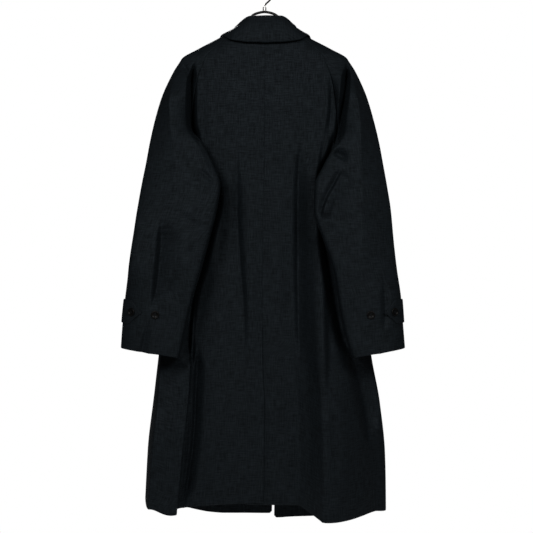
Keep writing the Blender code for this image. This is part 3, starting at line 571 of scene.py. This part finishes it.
def sleeve_point(side, drop, turn):
    """A point on a sleeve's outer side: a cap at the shoulder that becomes a tube below it."""
    cap = shoulder_point(side, min(drop, UNDERARM_DROP), turn)
    tube = tube_point(side, drop, turn)
    ends = shoulder_point(side, min(drop, UNDERARM_DROP), np.array([0.0, 1.0]))
    bare = tube_point(side, drop, np.array([0.0, 1.0]))
    left_of_underarm = 1 - np.clip((drop - UNDERARM_DROP) / 0.12, 0, 1) ** 0.6
    lower = ramp(drop, *SEAM_PULL_NARROWS)
    for k, (near, shortest) in enumerate(((turn, 0.06), (1 - turn, 0.14))):
        sideways = 1 - ramp(near, 0, 0.45 - 0.32 * lower)
        forwards = 1 - ramp(near, 0, 0.45 + (shortest - 0.45) * lower)
        pull = left_of_underarm * np.stack([sideways, forwards], axis=-1)
        tube = tube + (ends[k] - bare[k]) * pull
    flat = cap + (tube - cap) * ramp(drop, *CAP_TO_TUBE)
    tilt = CUFF_TILT * ramp(drop, *CUFF_TILTS) * np.cos(2 * math.pi * turn)
    return np.concatenate([flat, (COLLAR_TOP - drop - tilt)[:, None]], axis=1)


def sleeve_grids(side):
    """The outer points of a sleeve's back half and front half, which meet at the overarm seam."""
    halves = [edge_refined(BACK_HALF_COLUMNS) / 2, 0.5 + edge_refined(FRONT_HALF_COLUMNS) / 2]
    rows = [*UPPER_ROWS, *SLEEVE_ROWS]
    return [np.array([sleeve_point(side, drop, turns) for drop in rows]) for turns in halves]


def unit(vectors):
    return vectors / np.maximum(np.linalg.norm(vectors, axis=-1, keepdims=True), 1e-12)


def normals_of(grid, outward):
    """Each point's normal, on the side that the outward sign gives. Close columns at an edge share one."""
    normals = unit(outward * np.cross(np.gradient(grid, axis=1), np.gradient(grid, axis=0)))
    steady = len(EDGE_PLACES)
    normals[:, :steady] = normals[:, steady:steady + 1]
    normals[:, -steady:] = normals[:, -steady - 1:-steady]
    return normals


def drawn_in(grid):
    """The grid with each edge drawn back a little from its neighbours."""
    grid = grid.copy()
    for axis in (0, 1):
        for edge, inner in ((0, 1), (-1, -2)):
            rim, next_in = np.take(grid, edge, axis), np.take(grid, inner, axis)
            rim = rim + unit(next_in - rim) * SEAM_DRAW
            if axis == 0:
                grid[edge] = rim
            else:
                grid[:, edge] = rim
    return grid


def neck_point(side, around):
    """A point of the neckline that the collar stands on, from the centre back, 0, to the centre front, 1."""
    if around < BACK_NECK_SHARE:
        share = np.array([around / BACK_NECK_SHARE])
        return body_point(BACK, side, NECK_DROP + neck_dip(BACK, share), share)[0]
    if around > SHOULDER_NECK_SHARE:
        share = np.array([(1 - around) / (1 - SHOULDER_NECK_SHARE)])
        return body_point(FRONT, LEFT, NECK_DROP + neck_dip(FRONT, share), share)[0] * [-side, 1, 1]
    turn = np.array([(around - BACK_NECK_SHARE) / (SHOULDER_NECK_SHARE - BACK_NECK_SHARE)])
    return sleeve_point(side, NECK_DROP, turn)[0]


def collar_section(side, around):
    """The collar's middle line there: up the stand, over the roll and down the fall."""
    fold, edge = (
        np.array([
            side * along(COLLAR, part + "_x", around) + COLLAR_SHIFT * (1 - around),
            along(COLLAR, part + "_y", around),
            COLLAR_TOP - along(COLLAR, part + "_drop", around) - below_top,
        ])
        for part, below_top in (("fold", COLLAR_WALL / 2), ("edge", 0))
    )
    neck = neck_point(side, around) + [0, 0, COLLAR_WALL]
    out = (edge - fold) * [1, 1, 0]
    out = out / np.linalg.norm(out) * COLLAR_ROLL
    below = np.array([0, 0, -1.3 * COLLAR_ROLL])
    stand_top, fall_top = fold - out + below, fold + out + below
    drop = fall_top[2] - edge[2]
    away = out / COLLAR_ROLL * drop + [0, 0, np.linalg.norm((edge - fall_top)[:2])]
    bulge = COLLAR_BULGE * (1 - 0.85 * math.exp(-(((around - 0.47) / 0.09) ** 2)))
    away = away / np.linalg.norm(away) * 4 * bulge
    fall = [fall_top + (edge - fall_top) * t + away * t * (1 - t) for t in (0.3, 0.65, 1.0)]
    stand = [neck + (stand_top - neck) * t for t in (0.2, 0.6, 1.0)]
    return [*stand, fold - 0.75 * out + 0.3 * below, fold, fold + 0.75 * out + 0.3 * below, fall_top, *fall]


def cuff_surface(side, drop, distance):
    """Point and normal on the back half of a sleeve, a given way along its surface from the overarm seam."""
    turns = np.linspace(0.5, 0.0, 200)
    ring = sleeve_point(side, drop, turns)
    way = np.concatenate([[0], np.cumsum(np.linalg.norm(np.diff(ring, axis=0), axis=1))])
    turn = np.interp(distance, way, turns)
    step = 0.002
    beside = sleeve_point(side, drop, np.array([turn - step, turn, turn + step]))
    below = sleeve_point(side, drop + step, np.array([turn]))[0]
    normal = np.cross(below - beside[1], beside[2] - beside[0]) * side
    return beside[1], normal / np.linalg.norm(normal)


def crease_lift(on, x, drop):
    """How far the creases of a piece lift each of its points towards the viewer."""
    lift = np.zeros_like(x)
    for crease in CREASES.get(on, []):
        knots = [(across_mm / 1000, drop_mm / 1000, 0.0) for across_mm, drop_mm in crease.run]
        run = smooth_line(knots, CREASE_STEPS)[:, :2]
        left, right = crease.left / 1000, crease.right / 1000
        way = np.linspace(0, 1, CREASE_STEPS)
        course = unit(np.gradient(run, axis=0))
        reach = max(left, right)
        near = (x > run[:, 0].min() - reach) & (x < run[:, 0].max() + reach)
        near &= (drop > run[:, 1].min() - reach) & (drop < run[:, 1].max() + reach)
        if not near.any():
            continue
        point = np.stack([x[near], drop[near]], axis=-1)
        apart = point[:, None] - run[None]
        nearest = (apart**2).sum(axis=-1).argmin(axis=1)
        apart = apart[np.arange(len(point)), nearest]
        course = course[nearest]
        across = apart[:, 0] * course[:, 1] - apart[:, 1] * course[:, 0]
        beyond = abs(apart[:, 0] * course[:, 0] + apart[:, 1] * course[:, 1])
        t = way[nearest]
        fade = ramp(t, 0.0, crease.fade) * (1 - ramp(t, 1 - crease.fade, 1.0)) * (beyond < reach)
        width = np.where(across > 0, right, left) * (CREASE_POINT + (1 - CREASE_POINT) * fade)
        close = np.clip(1 - abs(across) / width, 0, 1)
        profile = close * close * (3 - 2 * close) * (1 - crease.sharp) + close**CUSP * crease.sharp
        lift[near] += crease.height / 1000 * fade * profile
    return lift


def ripple_lift(grid):
    points = grid.reshape(-1, 3)
    lift = np.zeros(len(points))
    for ripple in RIPPLES:
        scaled = points / (ripple.across, ripple.across, ripple.down)
        lift += ripple.height * np.array([noise.noise(point) for point in scaled.tolist()])
    return lift.reshape(grid.shape[:2])


def ways(grid):
    """The length along the grid to each point: across from the first column, and down from the first row."""
    across = np.linalg.norm(np.diff(grid, axis=1), axis=2).cumsum(axis=1)
    down = np.linalg.norm(np.diff(grid, axis=0), axis=2).cumsum(axis=0)
    return np.pad(across, ((0, 0), (1, 0))), np.pad(down, ((1, 0), (0, 0)))


def roll_lift(grid):
    """Every edge rolls in a little, so that a seam shows as a soft groove."""
    across, down = ways(grid)
    from_edge = np.minimum.reduce([across, across[:, -1:] - across, down, down[-1:] - down])
    return -SEAM_DIP * np.clip(1 - from_edge / SEAM_ROLL, 0, 1) ** 2


def dressed(on, grid, outward, calm=None):
    """The grid with its creases, ripples and rolled edges. Where calm is 1 the ripples are left out."""
    normals = normals_of(grid, outward)
    ripples = ripple_lift(grid)
    if calm is not None:
        ripples = ripples * (1 - calm)
    face = FRONT if on == "front" else BACK
    across = ways(grid)[0]
    from_seam = across[:, -1:] - across
    if on not in ("back", "front"):
        from_seam = np.minimum(across, from_seam)
    free = ramp(from_seam, 0, SEAM_CALM)
    shown = ramp(face * normals[..., 1], -0.15, 0.10) * free
    x, drop = grid[..., 0], COLLAR_TOP - grid[..., 2]
    valley = crease_lift("back_all", x, drop) if on.endswith("back") else np.zeros_like(x)
    lift = crease_lift(on, x, drop) * shown + valley
    out = ripples * free + roll_lift(grid) * (1 - np.clip(-valley / VALLEY_SHUT, 0, 1))
    return drawn_in(grid + out[..., None] * normals + lift[..., None] * (0, face, 0))


def placed(name, data):
    """A new object in the scene."""
    obj = bpy.data.objects.new(name, data)
    bpy.context.scene.collection.objects.link(obj)
    return obj


def settled(name, shape):
    """A mesh made from an edited shape, which is freed."""
    mesh = bpy.data.meshes.new(name)
    shape.to_mesh(mesh)
    shape.free()
    return mesh


def evaluated(obj):
    """The mesh that an object shows. The object is removed."""
    mesh = bpy.data.meshes.new_from_object(obj.evaluated_get(bpy.context.evaluated_depsgraph_get()))
    bpy.data.objects.remove(obj)
    return mesh


def add_object(name, mesh, finish):
    """A piece that rides on the coat's only body."""
    obj = placed(name, mesh)
    mesh.materials.append(finish)
    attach(obj, "root")
    return obj


def add_shell(name, outer, outward, finish, wall=SHELL_WALL, straight=0):
    """A thin closed shell of cloth with rounded edges. Its weave map is in metres along the cloth.

    The threads run along the column that hangs straight.
    """
    rows, columns = outer.shape[:2]
    normals = normals_of(outer, outward)
    away = np.zeros_like(outer)
    for edge, inside in ((0, 1), (-1, -2)):
        away[edge] += unit(outer[edge] - outer[inside])
        away[:, edge] += unit(outer[:, edge] - outer[:, inside])
    index = np.arange(rows * columns).reshape(rows, columns)
    rim = np.concatenate([index[0], index[1:, -1], index[-1, -2::-1], index[-2:0:-1, 0]])
    middle = (outer - normals * wall / 2 + unit(away) * wall * RIM_BULGE).reshape(-1, 3)[rim]
    points = np.concatenate([outer.reshape(-1, 3), (outer - wall * normals).reshape(-1, 3), middle])
    back, edge = rows * columns, 2 * rows * columns + np.arange(len(rim))
    sheet = np.stack([index[:-1, :-1], index[:-1, 1:], index[1:, 1:], index[1:, :-1]], axis=-1).reshape(-1, 4)
    next_rim, next_edge = np.roll(rim, -1), np.roll(edge, -1)
    faces = np.concatenate([
        sheet,
        sheet[:, ::-1] + back,
        np.stack([next_rim, rim, edge, next_edge], axis=1),
        np.stack([next_edge, edge, rim + back, next_rim + back], axis=1),
    ])
    if outward < 0:
        faces = faces[:, ::-1]
    mesh = bpy.data.meshes.new(name)
    mesh.from_pydata(points.tolist(), [], faces.tolist())
    across, down = ways(outer)
    across, down = across - across[:, [straight]], np.broadcast_to(down[:, [straight]], across.shape)
    flat = np.stack([across, down], axis=-1).reshape(-1, 2) + WEAVE_SHIFT * len(bpy.data.meshes)
    flat = np.concatenate([flat, flat, flat[rim]])
    corners = flat[faces.reshape(-1)].astype(np.float32)
    mesh.uv_layers.new(name="weave").data.foreach_set("uv", corners.reshape(-1))
    mesh.shade_smooth()
    return add_object(name, mesh, finish)


def line_along(grid, normals, edge, distance):
    """A line on the cloth a distance in from one of its edges: points and normals."""
    turned = {
        "first": lambda g: g,
        "last": lambda g: g[:, ::-1],
        "top": lambda g: g.transpose(1, 0, 2),
        "bottom": lambda g: g[::-1].transpose(1, 0, 2),
    }[edge]
    grid, normals = turned(grid), turned(normals)
    way = ways(grid)[0]
    places = np.array([np.interp(distance, row, np.arange(len(row))) for row in way])
    before = np.minimum(places.astype(int), grid.shape[1] - 2)
    part = (places - before)[:, None]
    rows = np.arange(len(grid))
    line = grid[rows, before] * (1 - part) + grid[rows, before + 1] * part
    return line, unit(normals[rows, before] * (1 - part) + normals[rows, before + 1] * part)


def add_stitches(name, lines, thread):
    """Lockstitch along each line: a row of slim beads, partly sunk in the cloth, joined in one piece."""
    ring = np.array([(0.5, 0), (0, 1), (-0.5, 0), (0, -0.4)]) * (STITCH_WIDTH, STITCH_HEIGHT)
    points, faces = [], []
    for line, normals in lines:
        way = np.concatenate([[0], np.linalg.norm(np.diff(line, axis=0), axis=1).cumsum()])
        for start in np.arange(STITCH_PITCH / 2, way[-1] - STITCH_LENGTH, STITCH_PITCH):
            ends = (start, start + STITCH_LENGTH)
            a, b = (np.array([np.interp(at, way, line[:, k]) for k in range(3)]) for at in ends)
            up = normals[np.searchsorted(way, start)]
            along_stitch = (b - a) / np.linalg.norm(b - a)
            beside = np.cross(along_stitch, up)
            first = len(points)
            points += [a, b]
            for middle in (a + 0.25 * (b - a), a + 0.75 * (b - a)):
                points += [middle + beside * w + up * h for w, h in ring]
            for k in range(4):
                p, q = first + 2 + k, first + 2 + (k + 1) % 4
                faces += [(first, p, q), (p, p + 4, q + 4, q), (first + 1, q + 4, p + 4)]
    mesh = bpy.data.meshes.new(name)
    mesh.from_pydata([tuple(p) for p in points], [], faces)
    mesh.shade_smooth()
    return add_object(name, mesh, thread)


def cut_of(grid):
    """The size that a piece was cut to: its widest row, its longest column and its area."""
    across, down = ways(grid)
    a, b = grid[1:, :-1] - grid[:-1, :-1], grid[:-1, 1:] - grid[:-1, :-1]
    c, d = grid[1:, 1:] - grid[1:, :-1], grid[1:, 1:] - grid[:-1, 1:]
    area = np.linalg.norm(np.cross(a, b), axis=2).sum() / 2 + np.linalg.norm(np.cross(c, d), axis=2).sum() / 2
    return (across[:, -1].max(), down[-1].max()), area


def finish_cloth(node, grid, lines, thread):
    """The piece takes its solid's place and gets its stitching; its cut is worked out but not kept."""
    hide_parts(node)
    sewing = [add_stitches(node + "_stitching", lines, thread)] if lines else []
    flat, area = cut_of(grid)
    area = min(area, flat[0] * flat[1])


def vent_line(grid, normals):
    """The short row of stitches that slopes across the left back from the top of the vent."""
    drops = COLLAR_TOP - grid[:, 0, 2]
    row = int(np.searchsorted(drops, VENT_TOP_DROP + 0.006))
    way = ways(grid)[0][row]
    places = np.interp(np.linspace(0.002, VENT_STITCH_LENGTH, 24), way, np.arange(len(way))).astype(int)
    return grid[row, places], normals[row, places]


def build_panels(cloth, thread):
    for side, name in SIDE_NAMES.items():
        for face, on, columns in ((BACK, "back", BACK_COLUMNS), (FRONT, "front", FRONT_COLUMNS)):
            outward = face * side
            grid = dressed(on, panel_grid(face, side, columns), outward)
            normals = normals_of(grid, outward)
            lines = [line_along(grid, normals, "bottom", HEM_STITCH)]
            raglan = line_along(grid, normals, "last", RAGLAN_STITCH)
            lines.append(tuple(part[2:len(UPPER_ROWS) - 2] for part in raglan))
            if face == FRONT:
                lines.append(line_along(grid, normals, "first", EDGE_STITCH))
            elif side == LEFT:
                lines.append(vent_line(grid, normals))
            shell = add_shell(f"{on}_{name}_cloth", grid, outward, cloth)
            finish_cloth(f"{on}_{name}", grid, lines, thread)


def build_sleeves(cloth, thread):
    for side, name in SIDE_NAMES.items():
        for half, plain in zip(("back", "front"), sleeve_grids(side)):
            calm = ramp(COLLAR_TOP - plain[..., 2], *CUFF_CALMS)
            grid = dressed(f"sleeve_{name}_{half}", plain, -side, calm)
            normals = normals_of(grid, -side)
            lines = [line_along(grid, normals, "bottom", CUFF_STITCH)]
            overarm = -1 if half == "back" else 0
            shell = add_shell(f"sleeve_{name}_{half}_cloth", grid, -side, cloth, straight=overarm)
            finish_cloth(f"sleeve_{name}_{half}", grid, lines, thread)


def smooth_line(points, count):
    """A smooth curve through a few points, read at even steps of its length."""
    points = np.array(points)
    way = np.concatenate([[0], np.linalg.norm(np.diff(points, axis=0), axis=1).cumsum()])
    Knot = namedtuple("Knot", "way x y z")
    knots = [Knot(w, *p) for w, p in zip(way, points)]
    steps = np.linspace(0, way[-1], count)
    return np.stack([along(knots, name, steps) for name in "xyz"], axis=-1)


def build_collar(cloth, thread):
    arounds = np.linspace(0, 1, COLLAR_COLUMNS)
    left = [smooth_line(collar_section(LEFT, around), COLLAR_ROWS) for around in arounds[::-1]]
    right = [smooth_line(collar_section(RIGHT, around), COLLAR_ROWS) for around in arounds[1:]]
    middle = np.array(left + right)
    outer = middle + COLLAR_WALL / 2 * normals_of(middle, 1)
    grid = dressed("collar", outer, 1)
    normals = normals_of(grid, 1)
    lines = [line_along(grid, normals, edge, EDGE_STITCH) for edge in ("last", "top", "bottom")]
    shell = add_shell("collar_cloth", grid, 1, cloth, COLLAR_WALL)
    finish_cloth("collar", grid, lines, thread)


def build_cuff_tabs(cloth, thread):
    """Pointed straps that start in the overarm seams and lie on the sleeves."""
    for side, name in SIDE_NAMES.items():
        grid = np.zeros((TAB_ROWS, TAB_COLUMNS, 3))
        for j, distance in enumerate(np.linspace(0.0015, TAB_LENGTH, TAB_COLUMNS)):
            half = max(TAB_TIP, min(TAB_WIDTH / 2, TAB_LENGTH - distance))
            for i, across in enumerate(np.linspace(-half, half, TAB_ROWS)):
                point, normal = cuff_surface(side, TAB_DROP + across, distance)
                grid[i, j] = point + (TAB_CLEARANCE + TAB_WALL) * normal
        grid = drawn_in(grid + roll_lift(grid)[..., None] * normals_of(grid, side))
        normals = normals_of(grid, side)
        lines = [line_along(grid, normals, edge, EDGE_STITCH) for edge in ("top", "bottom")]
        shell = add_shell(f"cuff_tab_{name}_cloth", grid, side, cloth, TAB_WALL)
        finish_cloth(f"cuff_tab_{name}", grid, lines, thread)


def bored_disc(radius):
    """A turned button with a raised rim round a dished middle and four holes through it."""
    shape = bmesh.new()
    points = [shape.verts.new((r * radius, 0, z * BUTTON_THICK)) for r, z in BUTTON_PROFILE]
    edges = [shape.edges.new(pair) for pair in zip(points, points[1:])]
    bmesh.ops.spin(
        shape, geom=points + edges, axis=(0, 0, 1), cent=(0, 0, 0), angle=math.tau, steps=48, use_merge=True
    )
    bmesh.ops.remove_doubles(shape, verts=shape.verts, dist=1e-6)
    bmesh.ops.recalc_face_normals(shape, faces=shape.faces)
    disc = settled("disc", shape)
    drills = bmesh.new()
    for x in (-1, 1):
        for y in (-1, 1):
            place = Matrix.Translation((x * HOLE_PLACE * radius, y * HOLE_PLACE * radius, 0))
            hole = HOLE_RADIUS * radius
            bmesh.ops.create_cone(
                drills, cap_ends=True, segments=16, radius1=hole, radius2=hole,
                depth=4 * BUTTON_THICK, matrix=place,
            )
    cutter = settled("drills", drills)
    plain, tool = placed("disc", disc), placed("drills", cutter)
    plain.modifiers.new("holes", "BOOLEAN").object = tool
    bored = evaluated(plain)
    bpy.data.objects.remove(tool)
    bored.materials.clear()
    bored.shade_smooth()
    bored.set_sharp_from_angle(angle=math.radians(40))
    return bored


def add_button(node, disc, radius, point, normal, horn, thread):
    """A button in its solid's place, sewn on with two bars of thread through its holes."""
    turn = Vector(normal).to_track_quat("Z", "Y").to_matrix().to_4x4()
    place = Matrix.Translation(Vector(point + BUTTON_CLEARANCE * normal)) @ turn
    mesh = disc.copy()
    mesh.transform(place)
    button = add_object(node + "_horn", mesh, horn)
    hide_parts(node)
    shape = bmesh.new()
    lying = Matrix.Rotation(math.pi / 2, 4, "Y")
    flattened = Matrix.Diagonal((0.6, 0.9, 1.0, 1.0))
    long = Matrix.Diagonal((0.11 * radius, 0.11 * radius, 0.29 * radius, 1.0))
    for y in (-1, 1):
        bar = Matrix.Translation((0, y * HOLE_PLACE * radius, 0.62 * BUTTON_THICK)) @ lying
        bmesh.ops.create_uvsphere(
            shape, u_segments=10, v_segments=8, radius=1.0, matrix=place @ bar @ flattened @ long
        )
    sewn = settled(node + "_thread", shape)
    sewn.shade_smooth()
    add_object(node + "_thread", sewn, thread)


def build_buttons(horn, thread):
    cuff_disc, front_disc = bored_disc(CUFF_BUTTON_RADIUS), bored_disc(FRONT_BUTTON_RADIUS)
    for side, name in SIDE_NAMES.items():
        point, normal = cuff_surface(side, TAB_DROP, CUFF_BUTTON_ALONG)
        point = point + (TAB_CLEARANCE + TAB_WALL) * normal
        add_button(f"cuff_button_{name}", cuff_disc, CUFF_BUTTON_RADIUS, point, normal, horn, thread)
        point, normal = cuff_surface(side, TAB_DROP, SPARE_BUTTON_ALONG)
        add_button(f"cuff_spare_button_{name}", cuff_disc, CUFF_BUTTON_RADIUS, point, normal, horn, thread)
    for k, drop in enumerate(FRONT_BUTTON_DROPS, 1):
        near = body_point(FRONT, LEFT, np.array([drop, drop + 0.01, drop]), np.array([0.0, 0.0, 0.02]))
        normal = unit(np.cross(near[2] - near[0], near[0] - near[1]))
        add_button(f"front_button_{k}", front_disc, FRONT_BUTTON_RADIUS, near[0], normal, horn, thread)


def add_wire(name, points, radius, finish):
    """A round wire along the points, with flat ends."""
    curve = bpy.data.curves.new(name, "CURVE")
    curve.dimensions = "3D"
    curve.bevel_depth = radius
    curve.bevel_resolution = 6
    curve.use_fill_caps = True
    line = curve.splines.new("POLY")
    line.points.add(len(points) - 1)
    for place, point in zip(line.points, points):
        place.co = (*point, 1.0)
    mesh = evaluated(placed(name, curve))
    mesh.shade_smooth()
    mesh.set_sharp_from_angle(angle=math.radians(50))
    return add_object(name, mesh, finish)


def build_hanger(metal):
    """A bent bar under the shoulders, and a hook on a ferrule at its middle."""
    reach = BAR[-1].x
    places = np.linspace(-reach, reach, 121)
    heights = COLLAR_TOP - along([BarPoint(-p.x, p.drop) for p in BAR[:0:-1]] + BAR, "drop", places)
    bar = add_wire("hanger", [(x, 0.0, z) for x, z in zip(places, heights)], BAR_RADIUS, metal)
    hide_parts("hanger_bar")

    foot = COLLAR_TOP - BAR[0].drop + BAR_RADIUS - 0.0008
    ferrule = [(0, 0, z) for z in np.linspace(foot, FERRULE_TOP, 3)]
    collar_ring = add_wire("hanger_collar_ring", ferrule, 0.92 * FERRULE_RADIUS, metal)
    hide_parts("hanger_ferrule")

    bow_centre = HOOK_RADIUS - HOOK_BOW_RADIUS
    stem = [(0, 0, z) for z in np.linspace(FERRULE_TOP, HOOK_STEM_TOP, 4)]
    neck = [(0.004, 0, HOOK_STEM_TOP + 0.0065), (0.0115, 0, HOOK_STEM_TOP + 0.0135)]
    bow = [
        (HOOK_BOW_RADIUS * math.cos(a), 0, bow_centre + HOOK_BOW_RADIUS * math.sin(a))
        for a in np.radians(np.linspace(-35, 200, 40))
    ]
    hook = add_wire("hanger_wire_hook", smooth_line(stem + neck + bow, 120), HOOK_RADIUS, metal)
    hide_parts("hanger_hook")


def add_node(tree, kind, inputs=None, **settings):
    """A shader node with its settings, and its inputs set to values or linked to other nodes' outputs."""
    made = tree.nodes.new(kind)
    for name, value in settings.items():
        setattr(made, name, value)
    for name, value in (inputs or {}).items():
        if isinstance(value, bpy.types.NodeSocket):
            tree.links.new(value, made.inputs[name])
        else:
            made.inputs[name].default_value = value
    return made


def new_material(name, **settings):
    made = bpy.data.materials.new(name)
    made.use_nodes = True
    shader = made.node_tree.nodes["Principled BSDF"]
    for socket, value in settings.items():
        shader.inputs[socket.replace("_", " ")].default_value = value
    return made, made.node_tree, shader


def combine(tree, operation, a, b):
    return add_node(tree, "ShaderNodeMath", {0: a, 1: b}, operation=operation).outputs[0]


def set_colour(tree, shader, value, dark, light, low=0.0, high=1.0):
    """The shader's colour goes from dark to light as the value goes from low to high."""
    shade = add_node(tree, "ShaderNodeValToRGB", {0: value})
    for stop, position, colour in zip(shade.color_ramp.elements, (low, high), (dark, light)):
        stop.position = position
        stop.color = (*colour, 1)
    tree.links.new(shade.outputs[0], shader.inputs["Base Color"])


def set_roughness(tree, shader, value, first, last, low=0.0, high=1.0):
    """The shader's roughness goes from first to last as the value goes from low to high."""
    rough = add_node(tree, "ShaderNodeMapRange", {0: value, 1: low, 2: high, 3: first, 4: last})
    tree.links.new(rough.outputs[0], shader.inputs["Roughness"])


def scaled(tree, vector, factors):
    return add_node(tree, "ShaderNodeVectorMath", {0: vector, 1: factors}, operation="MULTIPLY").outputs[0]


def streaks(tree, weave, across, down, detail=1.0):
    """Uneven yarn: noise drawn out to a length and width in metres, from 0 to 1."""
    inputs = {"Vector": scaled(tree, weave, (1 / across, 1 / down, 0)), "Scale": 1.0, "Detail": detail}
    return add_node(tree, "ShaderNodeTexNoise", inputs, noise_dimensions="2D").outputs[0]


def cloth_material():
    """Charcoal wool in a plain weave, with slubs both ways, so that the tone is crosshatched."""
    made, tree, shader = new_material("charcoal_wool", Specular_IOR_Level=0.30, Specular_Tint=GLOSS_TINT)
    weave = add_node(tree, "ShaderNodeUVMap", uv_map="weave").outputs[0]
    warp = streaks(tree, weave, 0.0020, 0.026)
    weft = streaks(tree, weave, 0.024, 0.0020)
    fine_warp = streaks(tree, weave, 0.0009, 0.009)
    fine_weft = streaks(tree, weave, 0.009, 0.0009)
    cloud = streaks(tree, weave, 0.035, 0.050, 2.0)
    slubs = combine(tree, "ADD", warp, weft)
    fibres = combine(tree, "ADD", fine_warp, fine_weft)
    tone = combine(tree, "MULTIPLY", slubs, 0.34)
    tone = combine(tree, "ADD", tone, combine(tree, "MULTIPLY", fibres, 0.13))
    tone = combine(tree, "ADD", tone, combine(tree, "MULTIPLY", cloud, 0.08))
    dark, light = ([c * share for c in CLOTH_COLOUR] for share in (0.4, 1.65))
    set_colour(tree, shader, tone, dark, light, *TONE_SPAN)
    set_roughness(tree, shader, tone, 0.84, 0.63, *TONE_SPAN)

    threads = scaled(tree, weave, (math.pi / YARN, math.pi / YARN, 0))
    parts = add_node(tree, "ShaderNodeSeparateXYZ", {0: threads})
    over = add_node(tree, "ShaderNodeMath", {0: parts.outputs[0]}, operation="SINE").outputs[0]
    under = add_node(tree, "ShaderNodeMath", {0: parts.outputs[1]}, operation="SINE").outputs[0]
    height = combine(tree, "ADD", combine(tree, "MULTIPLY", over, under), slubs)
    bump = add_node(tree, "ShaderNodeBump", {"Strength": 0.35, "Distance": 0.0002, "Height": height})
    tree.links.new(bump.outputs[0], shader.inputs["Normal"])
    return made


def thread_material():
    made, tree, shader = new_material("sewing_thread", Roughness=0.6, Specular_IOR_Level=0.1)
    place = add_node(tree, "ShaderNodeTexCoord").outputs["Object"]
    twist = add_node(tree, "ShaderNodeTexNoise", {"Vector": place, "Scale": 900.0, "Detail": 1.0})
    dark, light = ([c * share for c in THREAD_COLOUR] for share in (0.8, 1.4))
    set_colour(tree, shader, twist.outputs[0], dark, light)
    return made


def horn_material():
    """Dark horn, with faint brown streaks and a worn polish."""
    made, tree, shader = new_material("dark_horn", Specular_IOR_Level=0.2)
    place = add_node(tree, "ShaderNodeTexCoord").outputs["Object"]
    drawn = scaled(tree, place, (60, 60, 420))
    grain = add_node(tree, "ShaderNodeTexNoise", {"Vector": drawn, "Scale": 1.0, "Detail": 4.0}).outputs[0]
    set_colour(tree, shader, grain, HORN_DARK, HORN_LIGHT, 0.35, 0.75)
    set_roughness(tree, shader, grain, 0.32, 0.46)
    return made


def steel_material():
    """Bright plated wire, with fine drawing marks."""
    made, tree, shader = new_material("plated_steel", Metallic=1.0, Base_Color=STEEL_COLOUR)
    place = add_node(tree, "ShaderNodeTexCoord").outputs["Object"]
    marks = add_node(tree, "ShaderNodeTexNoise", {"Vector": place, "Scale": 350.0, "Detail": 3.0})
    set_roughness(tree, shader, marks.outputs[0], 0.12, 0.22)
    return made


def build_stage():
    """A round pale floor below the coat, a white backdrop that sheds only a little light, and soft lights."""
    scene = bpy.context.scene
    scene.view_settings.view_transform = "Standard"
    world = bpy.data.worlds.new("studio")
    scene.world = world
    world.use_nodes = True
    tree = world.node_tree
    seen = add_node(tree, "ShaderNodeLightPath").outputs["Is Camera Ray"]
    level = add_node(tree, "ShaderNodeMapRange", {0: seen, 3: SURROUND, 4: BACKDROP})
    tree.links.new(level.outputs[0], tree.nodes["Background"].inputs["Strength"])
    tree.nodes["Background"].inputs["Color"].default_value = (1, 1, 1, 1)
    shape = bmesh.new()
    place = Matrix.Translation((0, 0, COLLAR_TOP - FLOOR_DROP))
    bmesh.ops.create_circle(shape, cap_ends=True, segments=96, radius=FLOOR_RADIUS, matrix=place)
    floor = placed("floor", settled("floor", shape))
    pale = new_material("pale_floor", Roughness=0.9, Specular_IOR_Level=0.2, Base_Color=FLOOR_COLOUR)[0]
    floor.data.materials.append(pale)
    for name, place, power, size in LIGHTS:
        lamp = bpy.data.lights.new(name, "AREA")
        lamp.energy = power
        lamp.size = size
        obj = placed(name, lamp)
        obj.location = place
        aim = Vector((0, 0, COLLAR_TOP - 0.5)) - obj.location
        obj.rotation_euler = aim.to_track_quat("-Z", "Y").to_euler()


def build_camera():
    camera = placed("camera", bpy.data.cameras.new("camera"))
    camera.location = (CAMERA_X, -CAMERA_DISTANCE, COLLAR_TOP - CAMERA_DROP)
    camera.rotation_euler = (math.pi / 2, 0, 0)
    camera.data.sensor_width = SENSOR
    camera.data.lens = SENSOR * FOCAL_PIXELS / FRAME_PIXELS
    bpy.context.scene.camera = camera


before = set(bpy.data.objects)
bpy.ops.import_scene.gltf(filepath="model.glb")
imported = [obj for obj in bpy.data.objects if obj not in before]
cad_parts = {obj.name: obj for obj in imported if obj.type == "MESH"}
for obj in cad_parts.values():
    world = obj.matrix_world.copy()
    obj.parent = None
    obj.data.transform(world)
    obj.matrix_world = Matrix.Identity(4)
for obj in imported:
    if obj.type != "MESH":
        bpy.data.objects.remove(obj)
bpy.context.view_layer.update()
wool, thread, horn, steel = cloth_material(), thread_material(), horn_material(), steel_material()
build_hanger(steel)
build_panels(wool, thread)
build_sleeves(wool, thread)
build_collar(wool, thread)
build_cuff_tabs(wool, thread)
build_buttons(horn, thread)
build_stage()
build_camera()
